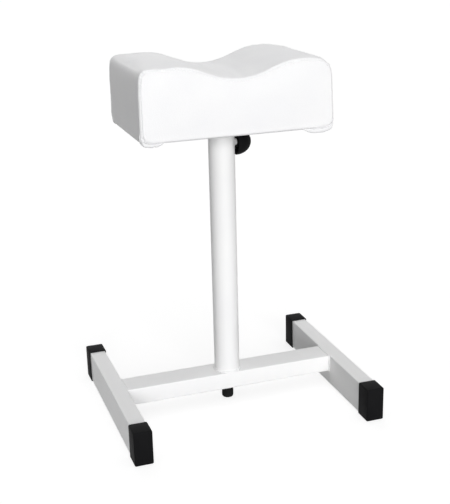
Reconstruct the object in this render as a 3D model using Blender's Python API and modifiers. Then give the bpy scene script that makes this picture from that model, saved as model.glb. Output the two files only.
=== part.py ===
"""Pedicure footrest: a saddle cushion on a telescopic post over an H-shaped base.

Metres, +Z up. The origin lies on the floor under the middle of the post, +X runs along
the crossbar and the front of the cushion faces -Y.
"""
import math

import bmesh
import bpy
from mathutils import Vector

# Gaps and shares that all pieces use
GAP = 0.0003                # air between touching faces
OVERRUN = 0.002             # how far a cutter runs past what it cuts
ROUND_STEPS = 40            # sides of a tube or a knob
SMALL_STEPS = 16            # sides of a screw or a small hole
CORNER_STEPS = 4            # points in a rounded corner

# Base
RAIL_SPAN = 0.365           # between the middles of the two rails
BASE_DEPTH = 0.328          # front to back, over the boots
RAIL_WIDTH = 0.025
RAIL_HEIGHT = 0.050
RAIL_WALL = 0.0015
RAIL_CORNER = 0.003
BAR_DEPTH = 0.044
BAR_HEIGHT = 0.027
BAR_WALL = 0.0015
BAR_CORNER = 0.003
BAR_DROP = 0.001            # the bar's top below the rails' top

# Boots on the rail ends
BOOT_LENGTH = 0.030
BOOT_WALL = 0.0013
BOOT_END_WALL = 0.0025
BOOT_EDGE = 0.0012          # rounding of the outer edges

# Post and its fixing under the bar
POST_RADIUS = 0.020
POST_WALL = 0.0015
PLUG_THICKNESS = 0.014
BOLT_RADIUS = 0.004
BOLT_HEAD_FLATS = 0.013
BOLT_HEAD_HEIGHT = 0.0053
BOLT_GRIP = 0.011           # thread engaged in the plug
WASHER_RADIUS = 0.008
WASHER_THICKNESS = 0.0016
FOOT_WALL = 0.001
FOOT_ROUNDING = 0.003

# Guide sleeve, inner tube and glide
SLEEVE_WALL = 0.0019
SLEEVE_LENGTH = 0.060
COLLAR_THICKNESS = 0.003
COLLAR_ROUNDING = 0.0008
TUBE_WALL = 0.0015
GLIDE_THICKNESS = 0.018
GLIDE_SPIGOT = 0.020
GLIDE_SPIGOT_WALL = 0.003
LIFT_TRAVEL = 0.180

# Clamp on the right of the post
KNOB_RADIUS = 0.020
KNOB_LENGTH = 0.0245
KNOB_RIM_LENGTH = 0.0015    # straight stretch before the dome
KNOB_SHELL = 0.0026
KNOB_HUB_RADIUS = 0.0085
KNOB_STANDOFF = 0.0015      # rim to the post
KNOB_HEADROOM = 0.004       # rim to the seat plate
KNOB_DOME_STEPS = 9
HUB_STANDOFF = 0.001        # hub to the boss
BOSS_WALL = 0.0014
BOSS_PROJECTION = 0.0025
SCREW_RADIUS = 0.004
SCREW_IN_KNOB = 0.014
PAD_RADIUS = 0.0037
PAD_THICKNESS = 0.0022

# Cushion
UNDERSIDE_HEIGHT = 0.446    # of the cushion, at the lowest stop
CUSHION_WIDTH = 0.285
CUSHION_DEPTH = 0.178       # between the front and the rear seam
CREST_HEIGHT = 0.102
TOP_CROWN = 0.003
PANEL_CROWN = 0.003
VINYL = 0.0012
LIP_LENGTH = 0.020          # vinyl turned under the board
LINER = 0.0009
BOARD_THICKNESS = 0.012
BOARD_CORNER = 0.002

# Seat plate and its screws
PLATE_WIDTH = 0.120
PLATE_DEPTH = 0.090
PLATE_THICKNESS = 0.003
PLATE_CORNER = 0.010
SCREW_INSET = 0.015         # screw from the plate's edge
WOOD_SCREW_RADIUS = 0.0021
WOOD_SCREW_LENGTH = 0.014
WOOD_SCREW_POINT = 0.003
WOOD_SCREW_HEAD_RADIUS = 0.0042
WOOD_SCREW_HEAD_HEIGHT = 0.0026
CROSS_SLOT = 0.0009
CROSS_DEPTH = 0.0012
CROSS_LENGTH = 0.0046

# The cushion's front outline, left to right, as shares of half its width and of its crest
CONTOUR_SHARES = (
    (-1.000, 0.400), (-1.000, 0.700), (-0.990, 0.880), (-0.960, 0.965), (-0.900, 0.998),
    (-0.760, 1.000), (-0.600, 0.996), (-0.480, 0.972), (-0.360, 0.915), (-0.240, 0.852),
    (-0.120, 0.808), (0.000, 0.794), (0.120, 0.808), (0.240, 0.852), (0.360, 0.915),
    (0.480, 0.972), (0.600, 0.996), (0.740, 0.998), (0.850, 0.970), (0.930, 0.925),
    (0.980, 0.850), (1.000, 0.720), (1.000, 0.400),
)
CONTOUR_STEPS = 2
BOTTOM_STEPS = 8
DEPTH_STEPS = 6
PANEL_RING_SHARES = (1.0, 0.93, 0.75, 0.45, 0.0)
PANEL_CENTRE_SHARE = 0.45   # height of the bulge's middle in the crest height

# Heights and radii that follow
BOOT_REACH = BOOT_WALL + GAP
RAIL_BOTTOM = BOOT_REACH
RAIL_TOP = RAIL_BOTTOM + RAIL_HEIGHT
BAR_TOP = RAIL_TOP - BAR_DROP
BAR_BOTTOM = BAR_TOP - BAR_HEIGHT
POST_BOTTOM = BAR_TOP + GAP
POST_BORE = POST_RADIUS - POST_WALL
PLATE_TOP = UNDERSIDE_HEIGHT - GAP
PLATE_BOTTOM = PLATE_TOP - PLATE_THICKNESS
COLLAR_TOP = PLATE_BOTTOM - GAP
POST_TOP = COLLAR_TOP - COLLAR_THICKNESS - GAP
SLEEVE_RADIUS = POST_BORE - GAP
SLEEVE_BORE = SLEEVE_RADIUS - SLEEVE_WALL
SLEEVE_BOTTOM = POST_TOP - SLEEVE_LENGTH
TUBE_RADIUS = SLEEVE_BORE - GAP
TUBE_BORE = TUBE_RADIUS - TUBE_WALL
TUBE_TOP = PLATE_BOTTOM - GAP
GLIDE_TOP = SLEEVE_BOTTOM - GAP - LIFT_TRAVEL
TUBE_BOTTOM = GLIDE_TOP + GAP
CLAMP_HEIGHT = PLATE_BOTTOM - KNOB_HEADROOM - KNOB_RADIUS
BOSS_RADIUS = SCREW_RADIUS + GAP + BOSS_WALL
BOSS_START = POST_BORE
BOSS_END = POST_RADIUS + BOSS_PROJECTION
KNOB_START = POST_RADIUS + KNOB_STANDOFF
HUB_START = BOSS_END + HUB_STANDOFF
PAD_START = TUBE_RADIUS + GAP
PAD_END = PAD_START + PAD_THICKNESS
SCREW_START = PAD_END + GAP
SCREW_END = HUB_START + SCREW_IN_KNOB
BOARD_BOTTOM = VINYL + GAP
BOARD_TOP = BOARD_BOTTOM + BOARD_THICKNESS
FOAM_BOTTOM = BOARD_TOP + GAP
WRAP_HALF_DEPTH = CUSHION_DEPTH / 2 - VINYL - GAP


def clear_scene():
    for obj in list(bpy.data.objects):
        bpy.data.objects.remove(obj, do_unlink=True)


def collection(name):
    group = bpy.data.collections.new(name)
    bpy.context.scene.collection.children.link(group)
    return group


def material(name, colour, roughness, metallic=0.0):
    mat = bpy.data.materials.new(name)
    mat.use_nodes = True
    shader = mat.node_tree.nodes["Principled BSDF"]
    shader.inputs["Base Color"].default_value = (*colour, 1.0)
    shader.inputs["Roughness"].default_value = roughness
    shader.inputs["Metallic"].default_value = metallic
    mat.diffuse_color = (*colour, 1.0)
    return mat


def add_object(name, data, mat, group):
    obj = bpy.data.objects.new(name, data)
    if mat is not None:
        data.materials.append(mat)
    group.objects.link(obj)
    return obj


def mesh_from(bm, name):
    mesh = bpy.data.meshes.new(name)
    bm.to_mesh(mesh)
    bm.free()
    return mesh


def smooth(obj, angle=math.radians(35)):
    obj.data.shade_smooth()
    obj.data.set_sharp_from_angle(angle=angle)


def box_mesh(name, size):
    bm = bmesh.new()
    bmesh.ops.create_cube(bm, size=1.0)
    bmesh.ops.scale(bm, vec=size, verts=bm.verts)
    return mesh_from(bm, name)


def rod_mesh(name, radius, length, steps):
    bm = bmesh.new()
    bmesh.ops.create_cone(bm, cap_ends=True, segments=steps, radius1=radius, radius2=radius,
                          depth=length)
    return mesh_from(bm, name)


def cutter(name, mesh, location, rotation=(0.0, 0.0, 0.0)):
    obj = add_object(name, mesh, None, CUTTERS)
    obj.location = location
    obj.rotation_euler = rotation
    obj.hide_render = True
    obj.display_type = "WIRE"
    return obj


def boolean(obj, tool, operation="DIFFERENCE"):
    mod = obj.modifiers.new(f"{operation.lower()} {tool.name}", "BOOLEAN")
    mod.operation = operation
    mod.solver = "EXACT"
    mod.object = tool


def turned(name, profile, mat, steps=ROUND_STEPS):
    """A profile of (radius, height) points, outer side first and downwards, turned about Z."""
    mesh = bpy.data.meshes.new(name)
    points = [(radius, 0.0, height) for radius, height in profile]
    edges = [(i, i + 1) for i in range(len(points) - 1)]
    if profile[0][0] > 0.0 or profile[-1][0] > 0.0:
        edges.append((len(points) - 1, 0))
    mesh.from_pydata(points, edges, [])
    obj = add_object(name, mesh, mat, PARTS)
    mod = obj.modifiers.new("turn", "SCREW")
    mod.axis = "Z"
    mod.angle = math.tau
    mod.steps = steps
    mod.render_steps = steps
    mod.use_merge_vertices = True
    mod.merge_threshold = GAP / 10
    solid = as_mesh(obj)
    smooth(solid)
    return solid


def ring_profile(outer, inner, bottom, top):
    return [(outer, top), (outer, bottom), (inner, bottom), (inner, top)]


def arc(centre, radius, start, end, steps):
    """Points of an arc from the angle start to the angle end, both included."""
    angles = [start + (end - start) * i / steps for i in range(steps + 1)]
    return [(centre[0] + radius * math.cos(a), centre[1] + radius * math.sin(a)) for a in angles]


def rounded_rectangle(width, height, corner, centre=(0.0, 0.0)):
    points = []
    for quarter, (sx, sy) in enumerate(((1, 1), (-1, 1), (-1, -1), (1, -1))):
        middle = (centre[0] + sx * (width / 2 - corner), centre[1] + sy * (height / 2 - corner))
        start = quarter * math.pi / 2
        points += arc(middle, corner, start, start + math.pi / 2, CORNER_STEPS)
    return points


def circle(radius, centre, steps=SMALL_STEPS):
    return arc(centre, radius, 0.0, math.tau * (steps - 1) / steps, steps - 1)


def flat_solid(name, outlines, thickness, mat):
    """A 2D curve of closed outlines, the inner ones holes, as thick as given about its plane."""
    curve = bpy.data.curves.new(name, "CURVE")
    curve.dimensions = "2D"
    curve.fill_mode = "BOTH"
    curve.extrude = thickness / 2
    for outline in outlines:
        spline = curve.splines.new("POLY")
        spline.points.add(len(outline) - 1)
        spline.use_cyclic_u = True
        for point, (x, y) in zip(spline.points, outline):
            point.co = (x, y, 0.0, 1.0)
    return add_object(name, curve, mat, PARTS)


def as_mesh(obj):
    """The curve or profile made a welded mesh, in the same place and under the same name."""
    bpy.context.view_layer.update()
    depsgraph = bpy.context.evaluated_depsgraph_get()
    mesh = bpy.data.meshes.new_from_object(obj.evaluated_get(depsgraph))
    bm = bmesh.new()
    bm.from_mesh(mesh)
    bmesh.ops.remove_doubles(bm, verts=bm.verts, dist=GAP / 10)
    bm.to_mesh(mesh)
    bm.free()
    name = obj.name
    matrix = obj.matrix_world.copy()
    bpy.data.objects.remove(obj, do_unlink=True)
    solid = bpy.data.objects.new(name, mesh)
    solid.matrix_world = matrix
    PARTS.objects.link(solid)
    return solid


def square_tube(name, width, height, wall, corner, length, mat):
    outer = rounded_rectangle(width, height, corner)
    inner = rounded_rectangle(width - 2 * wall, height - 2 * wall, corner - wall)
    return flat_solid(name, [outer, inner], length, mat)


def axis_empty(name, location, parent=None):
    empty = bpy.data.objects.new(name, None)
    PARTS.objects.link(empty)
    empty.location = location
    if parent is not None:
        attach(empty, parent)
    return empty


def attach(obj, empty):
    bpy.context.view_layer.update()
    obj.parent = empty
    obj.matrix_parent_inverse = empty.matrix_world.inverted()


def make_rails():
    length = BASE_DEPTH - 2 * (BOOT_END_WALL + GAP)
    for side, name in ((-1, "left_rail"), (1, "right_rail")):
        rail = square_tube(name, RAIL_WIDTH, RAIL_HEIGHT, RAIL_WALL, RAIL_CORNER, length, WHITE)
        rail.location = (side * RAIL_SPAN / 2, 0.0, RAIL_BOTTOM + RAIL_HEIGHT / 2)
        rail.rotation_euler = (math.pi / 2, 0.0, 0.0)


def make_crossbar():
    length = RAIL_SPAN - RAIL_WIDTH - 2 * GAP
    bar = square_tube("crossbar", BAR_DEPTH, BAR_HEIGHT, BAR_WALL, BAR_CORNER, length, WHITE)
    bar.location = (0.0, 0.0, BAR_BOTTOM + BAR_HEIGHT / 2)
    bar.rotation_euler = (math.pi / 2, 0.0, math.pi / 2)
    bar = as_mesh(bar)
    hole = rod_mesh("bar_bolt_hole", BOLT_RADIUS + GAP, BAR_HEIGHT + 2 * OVERRUN, SMALL_STEPS)
    boolean(bar, cutter("bar_bolt_hole", hole, (0.0, 0.0, BAR_BOTTOM + BAR_HEIGHT / 2)))


def make_boots():
    """Four closed caps that push over the rail ends and stand on the floor."""
    width = RAIL_WIDTH + 2 * BOOT_REACH
    height = RAIL_HEIGHT + 2 * BOOT_REACH
    pocket = BOOT_LENGTH - BOOT_END_WALL
    for side, side_name in ((-1, "left"), (1, "right")):
        for end, end_name in ((-1, "front"), (1, "rear")):
            name = f"boot_{end_name}_{side_name}"
            middle = Vector((side * RAIL_SPAN / 2, end * (BASE_DEPTH - BOOT_LENGTH) / 2,
                             RAIL_BOTTOM + RAIL_HEIGHT / 2))
            boot = add_object(name, box_mesh(name, (width, BOOT_LENGTH, height)), BLACK, PARTS)
            boot.location = middle
            bevel = boot.modifiers.new("edge", "BEVEL")
            bevel.width = BOOT_EDGE
            bevel.segments = 2
            inside = box_mesh(f"{name}_pocket", (RAIL_WIDTH + 2 * GAP, pocket + OVERRUN,
                                                 RAIL_HEIGHT + 2 * GAP))
            shift = end * (BOOT_END_WALL + OVERRUN) / 2
            boolean(boot, cutter(f"{name}_pocket", inside, middle - Vector((0.0, shift, 0.0))))


def make_centre_fixing():
    """Bolt from below into the post's plug, its washer, and the rubber foot over its head."""
    washer_top = BAR_BOTTOM - GAP
    washer_bottom = washer_top - WASHER_THICKNESS
    head_top = washer_bottom - GAP
    head_bottom = head_top - BOLT_HEAD_HEIGHT
    turned("base_washer", ring_profile(WASHER_RADIUS, BOLT_RADIUS + GAP, washer_bottom, washer_top),
           STEEL, SMALL_STEPS * 2)

    shank_top = POST_BOTTOM + BOLT_GRIP
    head_radius = BOLT_HEAD_FLATS / math.sqrt(3)
    bolt = add_object("base_bolt", rod_mesh("base_bolt", head_radius, BOLT_HEAD_HEIGHT, 6), STEEL, PARTS)
    bolt.location = (0.0, 0.0, head_bottom + BOLT_HEAD_HEIGHT / 2)
    shank_bottom = head_bottom + BOLT_HEAD_HEIGHT / 2
    shank = rod_mesh("bolt_shank", BOLT_RADIUS, shank_top - shank_bottom, SMALL_STEPS)
    boolean(bolt, cutter("bolt_shank", shank, (0.0, 0.0, (shank_top + shank_bottom) / 2)), "UNION")

    turned("post_plug", ring_profile(POST_BORE - GAP, BOLT_RADIUS + GAP, POST_BOTTOM,
                                     POST_BOTTOM + PLUG_THICKNESS), STEEL)

    recess = WASHER_RADIUS + GAP
    outer = recess + FOOT_WALL
    rounding = arc((outer - FOOT_ROUNDING, FOOT_ROUNDING), FOOT_ROUNDING, 0.0, -math.pi / 2, CORNER_STEPS)
    top = BAR_BOTTOM - GAP
    floor = head_bottom - GAP
    profile = [(0.0, floor), (recess, floor), (recess, top), (outer, top)] + rounding + [(0.0, 0.0)]
    turned("centre_foot", profile, RUBBER, SMALL_STEPS * 2)


def make_post():
    post = turned("post_tube", ring_profile(POST_RADIUS, POST_BORE, POST_BOTTOM, POST_TOP), WHITE)
    hole = rod_mesh("post_clamp_hole", BOSS_RADIUS + GAP, POST_RADIUS, SMALL_STEPS * 2)
    boolean(post, cutter("post_clamp_hole", hole, (POST_RADIUS, 0.0, CLAMP_HEIGHT),
                         (0.0, math.pi / 2, 0.0)))

    rim = POST_RADIUS - COLLAR_ROUNDING
    edge = arc((rim, COLLAR_TOP - COLLAR_ROUNDING), COLLAR_ROUNDING, math.pi / 2, 0.0, CORNER_STEPS)
    profile = edge + [(POST_RADIUS, POST_TOP + GAP), (SLEEVE_RADIUS, POST_TOP + GAP),
                      (SLEEVE_RADIUS, SLEEVE_BOTTOM), (SLEEVE_BORE, SLEEVE_BOTTOM),
                      (SLEEVE_BORE, COLLAR_TOP)]
    sleeve = turned("guide_sleeve", profile, NYLON)
    hole = rod_mesh("sleeve_clamp_hole", PAD_RADIUS + GAP, POST_RADIUS, SMALL_STEPS * 2)
    boolean(sleeve, cutter("sleeve_clamp_hole", hole, (POST_RADIUS, 0.0, CLAMP_HEIGHT),
                           (0.0, math.pi / 2, 0.0)))

    boss = turned("clamp_boss", ring_profile(BOSS_RADIUS, SCREW_RADIUS + GAP, BOSS_START, BOSS_END),
                  WHITE, SMALL_STEPS * 2)
    boss.location = (0.0, 0.0, CLAMP_HEIGHT)
    boss.rotation_euler = (0.0, math.pi / 2, 0.0)


def make_clamp():
    """Knob, screw and nylon pad on the clamp's axis, modelled along Z and laid along X."""
    travel = axis_empty("clamp_travel_axis", (0.0, 0.0, CLAMP_HEIGHT))
    turn = axis_empty("clamp_turn_axis", (0.0, 0.0, CLAMP_HEIGHT), travel)
    pieces = []

    pad = turned("clamp_pad", [(0.0, PAD_END), (PAD_RADIUS, PAD_END), (PAD_RADIUS, PAD_START),
                               (0.0, PAD_START)], NYLON, SMALL_STEPS)
    pieces.append((pad, travel))

    chamfer = SCREW_RADIUS / 4
    screw = turned("clamp_screw", [(0.0, SCREW_END), (SCREW_RADIUS, SCREW_END),
                                   (SCREW_RADIUS, SCREW_START + chamfer),
                                   (SCREW_RADIUS - chamfer, SCREW_START), (0.0, SCREW_START)],
                   STEEL, SMALL_STEPS)
    pieces.append((screw, turn))

    dome_start = KNOB_START + KNOB_RIM_LENGTH
    dome_length = KNOB_LENGTH - KNOB_RIM_LENGTH
    profile = []
    for i in range(KNOB_DOME_STEPS + 1):
        angle = math.pi / 2 * i / KNOB_DOME_STEPS
        profile.append((KNOB_RADIUS * math.sin(angle), dome_start + dome_length * math.cos(angle)))
    inner = KNOB_RADIUS - KNOB_SHELL
    roof = dome_start + dome_length / 2
    neck = (inner + KNOB_HUB_RADIUS) / 2
    profile += [(KNOB_RADIUS, KNOB_START), (inner, KNOB_START), (inner, dome_start), (neck, roof),
                (KNOB_HUB_RADIUS, roof), (KNOB_HUB_RADIUS, HUB_START),
                (SCREW_RADIUS + GAP, HUB_START), (SCREW_RADIUS + GAP, SCREW_END + GAP),
                (0.0, SCREW_END + GAP)]
    knob = turned("clamp_knob", profile, BLACK)
    pieces.append((knob, turn))

    for piece, axis in pieces:
        piece.location = (0.0, 0.0, CLAMP_HEIGHT)
        piece.rotation_euler = (0.0, math.pi / 2, 0.0)
        attach(piece, axis)


def make_lift():
    """Inner tube and the glide in its foot."""
    tube = turned("inner_tube", ring_profile(TUBE_RADIUS, TUBE_BORE, TUBE_BOTTOM, TUBE_TOP), CHROME)
    spigot = TUBE_BORE - GAP
    glide_bottom = GLIDE_TOP - GLIDE_THICKNESS
    spigot_top = GLIDE_TOP + GLIDE_SPIGOT
    bore = spigot - GLIDE_SPIGOT_WALL
    profile = [(spigot, spigot_top), (spigot, GLIDE_TOP), (SLEEVE_RADIUS, GLIDE_TOP),
               (SLEEVE_RADIUS, glide_bottom), (bore, glide_bottom), (bore, spigot_top)]
    glide = turned("inner_glide", profile, NYLON)
    attach(glide, LIFT_AXIS)
    attach(tube, SWIVEL_AXIS)


def screw_places():
    x = PLATE_WIDTH / 2 - SCREW_INSET
    y = PLATE_DEPTH / 2 - SCREW_INSET
    return [(sx * x, sy * y) for sx in (-1, 1) for sy in (-1, 1)]


def make_seat_plate():
    places = screw_places()
    hole = WOOD_SCREW_RADIUS + GAP
    holes = [circle(hole, place) for place in places]
    outline = rounded_rectangle(PLATE_WIDTH, PLATE_DEPTH, PLATE_CORNER)
    plate = flat_solid("seat_plate", [outline] + holes, PLATE_THICKNESS, WHITE)
    plate.location = (0.0, 0.0, PLATE_BOTTOM + PLATE_THICKNESS / 2)
    attach(plate, SWIVEL_AXIS)

    head_top = PLATE_BOTTOM - GAP
    head_bottom = head_top - WOOD_SCREW_HEAD_HEIGHT
    tip = head_top + WOOD_SCREW_LENGTH
    dome = WOOD_SCREW_HEAD_HEIGHT / 3
    profile = [(0.0, tip), (WOOD_SCREW_RADIUS, tip - WOOD_SCREW_POINT), (WOOD_SCREW_RADIUS, head_top),
               (WOOD_SCREW_HEAD_RADIUS, head_top), (WOOD_SCREW_HEAD_RADIUS, head_bottom + dome),
               (WOOD_SCREW_HEAD_RADIUS - dome, head_bottom), (0.0, head_bottom)]
    for i, (x, y) in enumerate(places):
        name = f"plate_screw_{i + 1}"
        screw = turned(name, profile, STEEL, SMALL_STEPS)
        screw.location = (x, y, 0.0)
        for turn, slot in ((0.0, "a"), (math.pi / 2, "b")):
            size = (CROSS_LENGTH, CROSS_SLOT, 2 * CROSS_DEPTH)
            tool = cutter(f"{name}_slot_{slot}", box_mesh(name, size), (x, y, head_bottom),
                          (0.0, 0.0, turn))
            boolean(screw, tool)
        attach(screw, SWIVEL_AXIS)


def curve_through(points, steps):
    """A smooth curve through the points, with some steps between each two."""
    before = [2 * a - b for a, b in zip(points[0], points[1])]
    after = [2 * a - b for a, b in zip(points[-1], points[-2])]
    padded = [before] + list(points) + [after]
    path = []
    for i in range(1, len(padded) - 2):
        p0, p1, p2, p3 = (Vector(p) for p in padded[i - 1:i + 3])
        for j in range(steps):
            t = j / steps
            path.append(0.5 * (2 * p1 + (p2 - p0) * t + (2 * p0 - 5 * p1 + 4 * p2 - p3) * t ** 2
                               + (3 * p1 - p0 - 3 * p2 + p3) * t ** 3))
    path.append(Vector(padded[-2]))
    return path


def contour(inset, bottom):
    """The cushion's outline over its top, from bottom to bottom, with the way out at each point."""
    half = CUSHION_WIDTH / 2
    points = [(x * half, z * CREST_HEIGHT) for x, z in CONTOUR_SHARES]
    points = [(-half, bottom)] + points + [(half, bottom)]
    path = curve_through(points, CONTOUR_STEPS)
    result = []
    for i, point in enumerate(path):
        along = path[min(i + 1, len(path) - 1)] - path[max(i - 1, 0)]
        outward = Vector((-along.y, along.x)).normalized()
        result.append((point - outward * inset, outward))
    return result


def crown_at(y, z):
    return TOP_CROWN * (1 - (y / WRAP_HALF_DEPTH) ** 2) * z / CREST_HEIGHT


def grid_object(name, rows, closed, mat):
    """A sheet through rows of points; closed joins each row's ends."""
    count = len(rows[0]) + (1 if closed else 0)
    bm = bmesh.new()
    bmesh.ops.create_grid(bm, x_segments=count - 1, y_segments=len(rows) - 1, size=1.0)
    ordered = sorted(bm.verts, key=lambda v: (round(v.co.y, 5), round(v.co.x, 5)))
    for index, vert in enumerate(ordered):
        row, place = divmod(index, count)
        vert.co = rows[row][place % len(rows[row])]
    bmesh.ops.remove_doubles(bm, verts=bm.verts, dist=GAP / 10)
    bmesh.ops.dissolve_degenerate(bm, edges=bm.edges, dist=GAP / 10)
    return add_object(name, mesh_from(bm, name), mat, PARTS)


def solidify(obj, thickness, offset=-1.0):
    mod = obj.modifiers.new("sheet", "SOLIDIFY")
    mod.thickness = thickness
    mod.offset = offset
    mod.use_even_offset = True
    mod.use_quality_normals = True


def ring(inset, bottom, share, y, bulge):
    """One closed ring of the cushion's end, shrunk by share about the bulge's middle."""
    outline = [point for point, _ in contour(inset, bottom)]
    left, right = outline[0], outline[-1]
    floor = [right.lerp(left, i / BOTTOM_STEPS) for i in range(1, BOTTOM_STEPS)]
    middle = Vector((0.0, PANEL_CENTRE_SHARE * CREST_HEIGHT))
    side = -1 if y < 0 else 1
    depth = y + side * bulge * (1 - share ** 2)
    points = []
    for point in outline + floor:
        place = middle + (point - middle) * share
        points.append(Vector((place.x, depth, UNDERSIDE_HEIGHT + place.y)))
    return points


def make_covers():
    """Vinyl: one strip over the sides and the top, and a flat panel at the front and the rear."""
    half = CUSHION_WIDTH / 2
    rows = []
    for i in range(DEPTH_STEPS + 1):
        y = WRAP_HALF_DEPTH * (2 * i / DEPTH_STEPS - 1)
        row = [Vector((-half + LIP_LENGTH, y, UNDERSIDE_HEIGHT))]
        for point, outward in contour(0.0, 0.0):
            place = point + outward * crown_at(y, point.y)
            row.append(Vector((place.x, y, UNDERSIDE_HEIGHT + place.y)))
        row.append(Vector((half - LIP_LENGTH, y, UNDERSIDE_HEIGHT)))
        rows.append(row)
    wrap = grid_object("cover_wrap", rows, False, VINYL_WHITE)
    solidify(wrap, VINYL)
    smooth(wrap)
    attach(wrap, SWIVEL_AXIS)

    for side, name in ((-1, "cover_front"), (1, "cover_rear")):
        rows = [ring(0.0, 0.0, share, side * CUSHION_DEPTH / 2, PANEL_CROWN)
                for share in PANEL_RING_SHARES]
        if side < 0:
            rows.reverse()
        panel = grid_object(name, rows, True, VINYL_WHITE)
        solidify(panel, VINYL)
        smooth(panel)
        attach(panel, SWIVEL_AXIS)


def make_foam():
    inset = VINYL + GAP
    rows = []
    for share in reversed(PANEL_RING_SHARES[1:]):
        rows.append(ring(inset, FOAM_BOTTOM, share, -WRAP_HALF_DEPTH, PANEL_CROWN))
    outline = contour(inset, FOAM_BOTTOM)
    left, right = outline[0][0], outline[-1][0]
    for i in range(DEPTH_STEPS + 1):
        y = WRAP_HALF_DEPTH * (2 * i / DEPTH_STEPS - 1)
        row = []
        for point, outward in outline:
            place = point + outward * crown_at(y, point.y)
            row.append(Vector((place.x, y, UNDERSIDE_HEIGHT + place.y)))
        for j in range(1, BOTTOM_STEPS):
            place = right.lerp(left, j / BOTTOM_STEPS)
            row.append(Vector((place.x, y, UNDERSIDE_HEIGHT + place.y)))
        rows.append(row)
    for share in PANEL_RING_SHARES[1:]:
        rows.append(ring(inset, FOAM_BOTTOM, share, WRAP_HALF_DEPTH, PANEL_CROWN))
    foam = grid_object("foam_core", rows, True, FOAM)
    smooth(foam)
    attach(foam, SWIVEL_AXIS)


def make_board():
    places = screw_places()
    hole = WOOD_SCREW_RADIUS + GAP
    holes = [circle(hole, place) for place in places]
    width = CUSHION_WIDTH - 2 * (VINYL + GAP)
    depth = 2 * WRAP_HALF_DEPTH
    board = flat_solid("seat_board", [rounded_rectangle(width, depth, BOARD_CORNER)] + holes,
                       BOARD_THICKNESS, PLYWOOD)
    board.location = (0.0, 0.0, UNDERSIDE_HEIGHT + BOARD_BOTTOM + BOARD_THICKNESS / 2)
    attach(board, SWIVEL_AXIS)

    width = CUSHION_WIDTH - 2 * (LIP_LENGTH + GAP)
    liner = flat_solid("under_liner", [rounded_rectangle(width, depth, BOARD_CORNER)] + holes,
                       LINER, CLOTH)
    liner.location = (0.0, 0.0, UNDERSIDE_HEIGHT + LINER / 2)
    attach(liner, SWIVEL_AXIS)


clear_scene()
PARTS = collection("pedicure_footrest")
CUTTERS = collection("cutters")
WHITE = material("white_powder_coat", (0.86, 0.86, 0.86), 0.35)
BLACK = material("black_plastic", (0.018, 0.018, 0.019), 0.45)
RUBBER = material("black_rubber", (0.015, 0.015, 0.015), 0.8)
STEEL = material("zinc_plated_steel", (0.62, 0.63, 0.64), 0.35, 1.0)
CHROME = material("chromed_steel", (0.75, 0.76, 0.78), 0.12, 1.0)
NYLON = material("black_nylon", (0.025, 0.025, 0.027), 0.5)
VINYL_WHITE = material("white_vinyl", (0.84, 0.84, 0.85), 0.45)
FOAM = material("yellow_foam", (0.80, 0.72, 0.45), 0.95)
PLYWOOD = material("birch_plywood", (0.62, 0.46, 0.28), 0.7)
CLOTH = material("black_liner", (0.03, 0.03, 0.03), 0.95)

LIFT_AXIS = axis_empty("lift_axis", (0.0, 0.0, PLATE_BOTTOM))
SWIVEL_AXIS = axis_empty("swivel_axis", (0.0, 0.0, PLATE_BOTTOM), LIFT_AXIS)

make_rails()
make_crossbar()
make_boots()
make_centre_fixing()
make_post()
make_clamp()
make_lift()
make_seat_plate()
make_board()
make_foam()
make_covers()
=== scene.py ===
"""Pedicure footrest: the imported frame, dressed with its fine pieces, finishes, light and camera.

Metres, +Z up. The front of the cushion faces -Y and the clamp knob is on the +X side.
"""

import math

import bmesh
import bpy
import numpy as np
from mathutils import Matrix, Vector, noise


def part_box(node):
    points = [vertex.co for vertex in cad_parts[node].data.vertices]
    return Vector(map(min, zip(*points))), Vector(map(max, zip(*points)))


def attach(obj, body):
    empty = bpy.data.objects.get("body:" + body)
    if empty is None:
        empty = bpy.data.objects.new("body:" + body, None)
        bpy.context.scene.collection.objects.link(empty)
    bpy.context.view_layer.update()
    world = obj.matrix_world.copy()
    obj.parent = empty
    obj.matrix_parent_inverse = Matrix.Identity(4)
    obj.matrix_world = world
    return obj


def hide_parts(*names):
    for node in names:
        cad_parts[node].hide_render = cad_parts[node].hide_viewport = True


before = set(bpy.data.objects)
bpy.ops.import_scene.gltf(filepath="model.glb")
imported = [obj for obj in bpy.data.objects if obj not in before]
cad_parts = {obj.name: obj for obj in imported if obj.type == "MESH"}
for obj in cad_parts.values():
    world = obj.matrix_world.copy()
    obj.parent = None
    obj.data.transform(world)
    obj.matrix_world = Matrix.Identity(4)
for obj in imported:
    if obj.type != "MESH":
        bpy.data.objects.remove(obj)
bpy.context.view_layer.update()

# Values that several pieces use
GAP = 0.0003                 # air between touching faces
TINY = 0.00005               # what counts as the same place
SAME_POINT = TINY / 5        # points closer than this are merged
OVERRUN = 0.001              # how far a drill starts and ends outside a plate
STEEL_WALL = 0.0015
HAIR_EDGE = 0.0002           # roundings of turned edges, from the sharpest to the softest
FINE_EDGE = 0.0003
SMALL_EDGE = 0.0004
EASED_EDGE = 0.0005
ALONG = 0.9                  # a direction with more than this of an axis runs along it
FACING = 0.99                # a face with more than this of an axis looks straight along it
LEVEL = 0.1                  # a direction with less than this of the upright runs level
SMOOTH_ANGLE = 32            # edges sharper than this many degrees stay sharp

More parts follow.
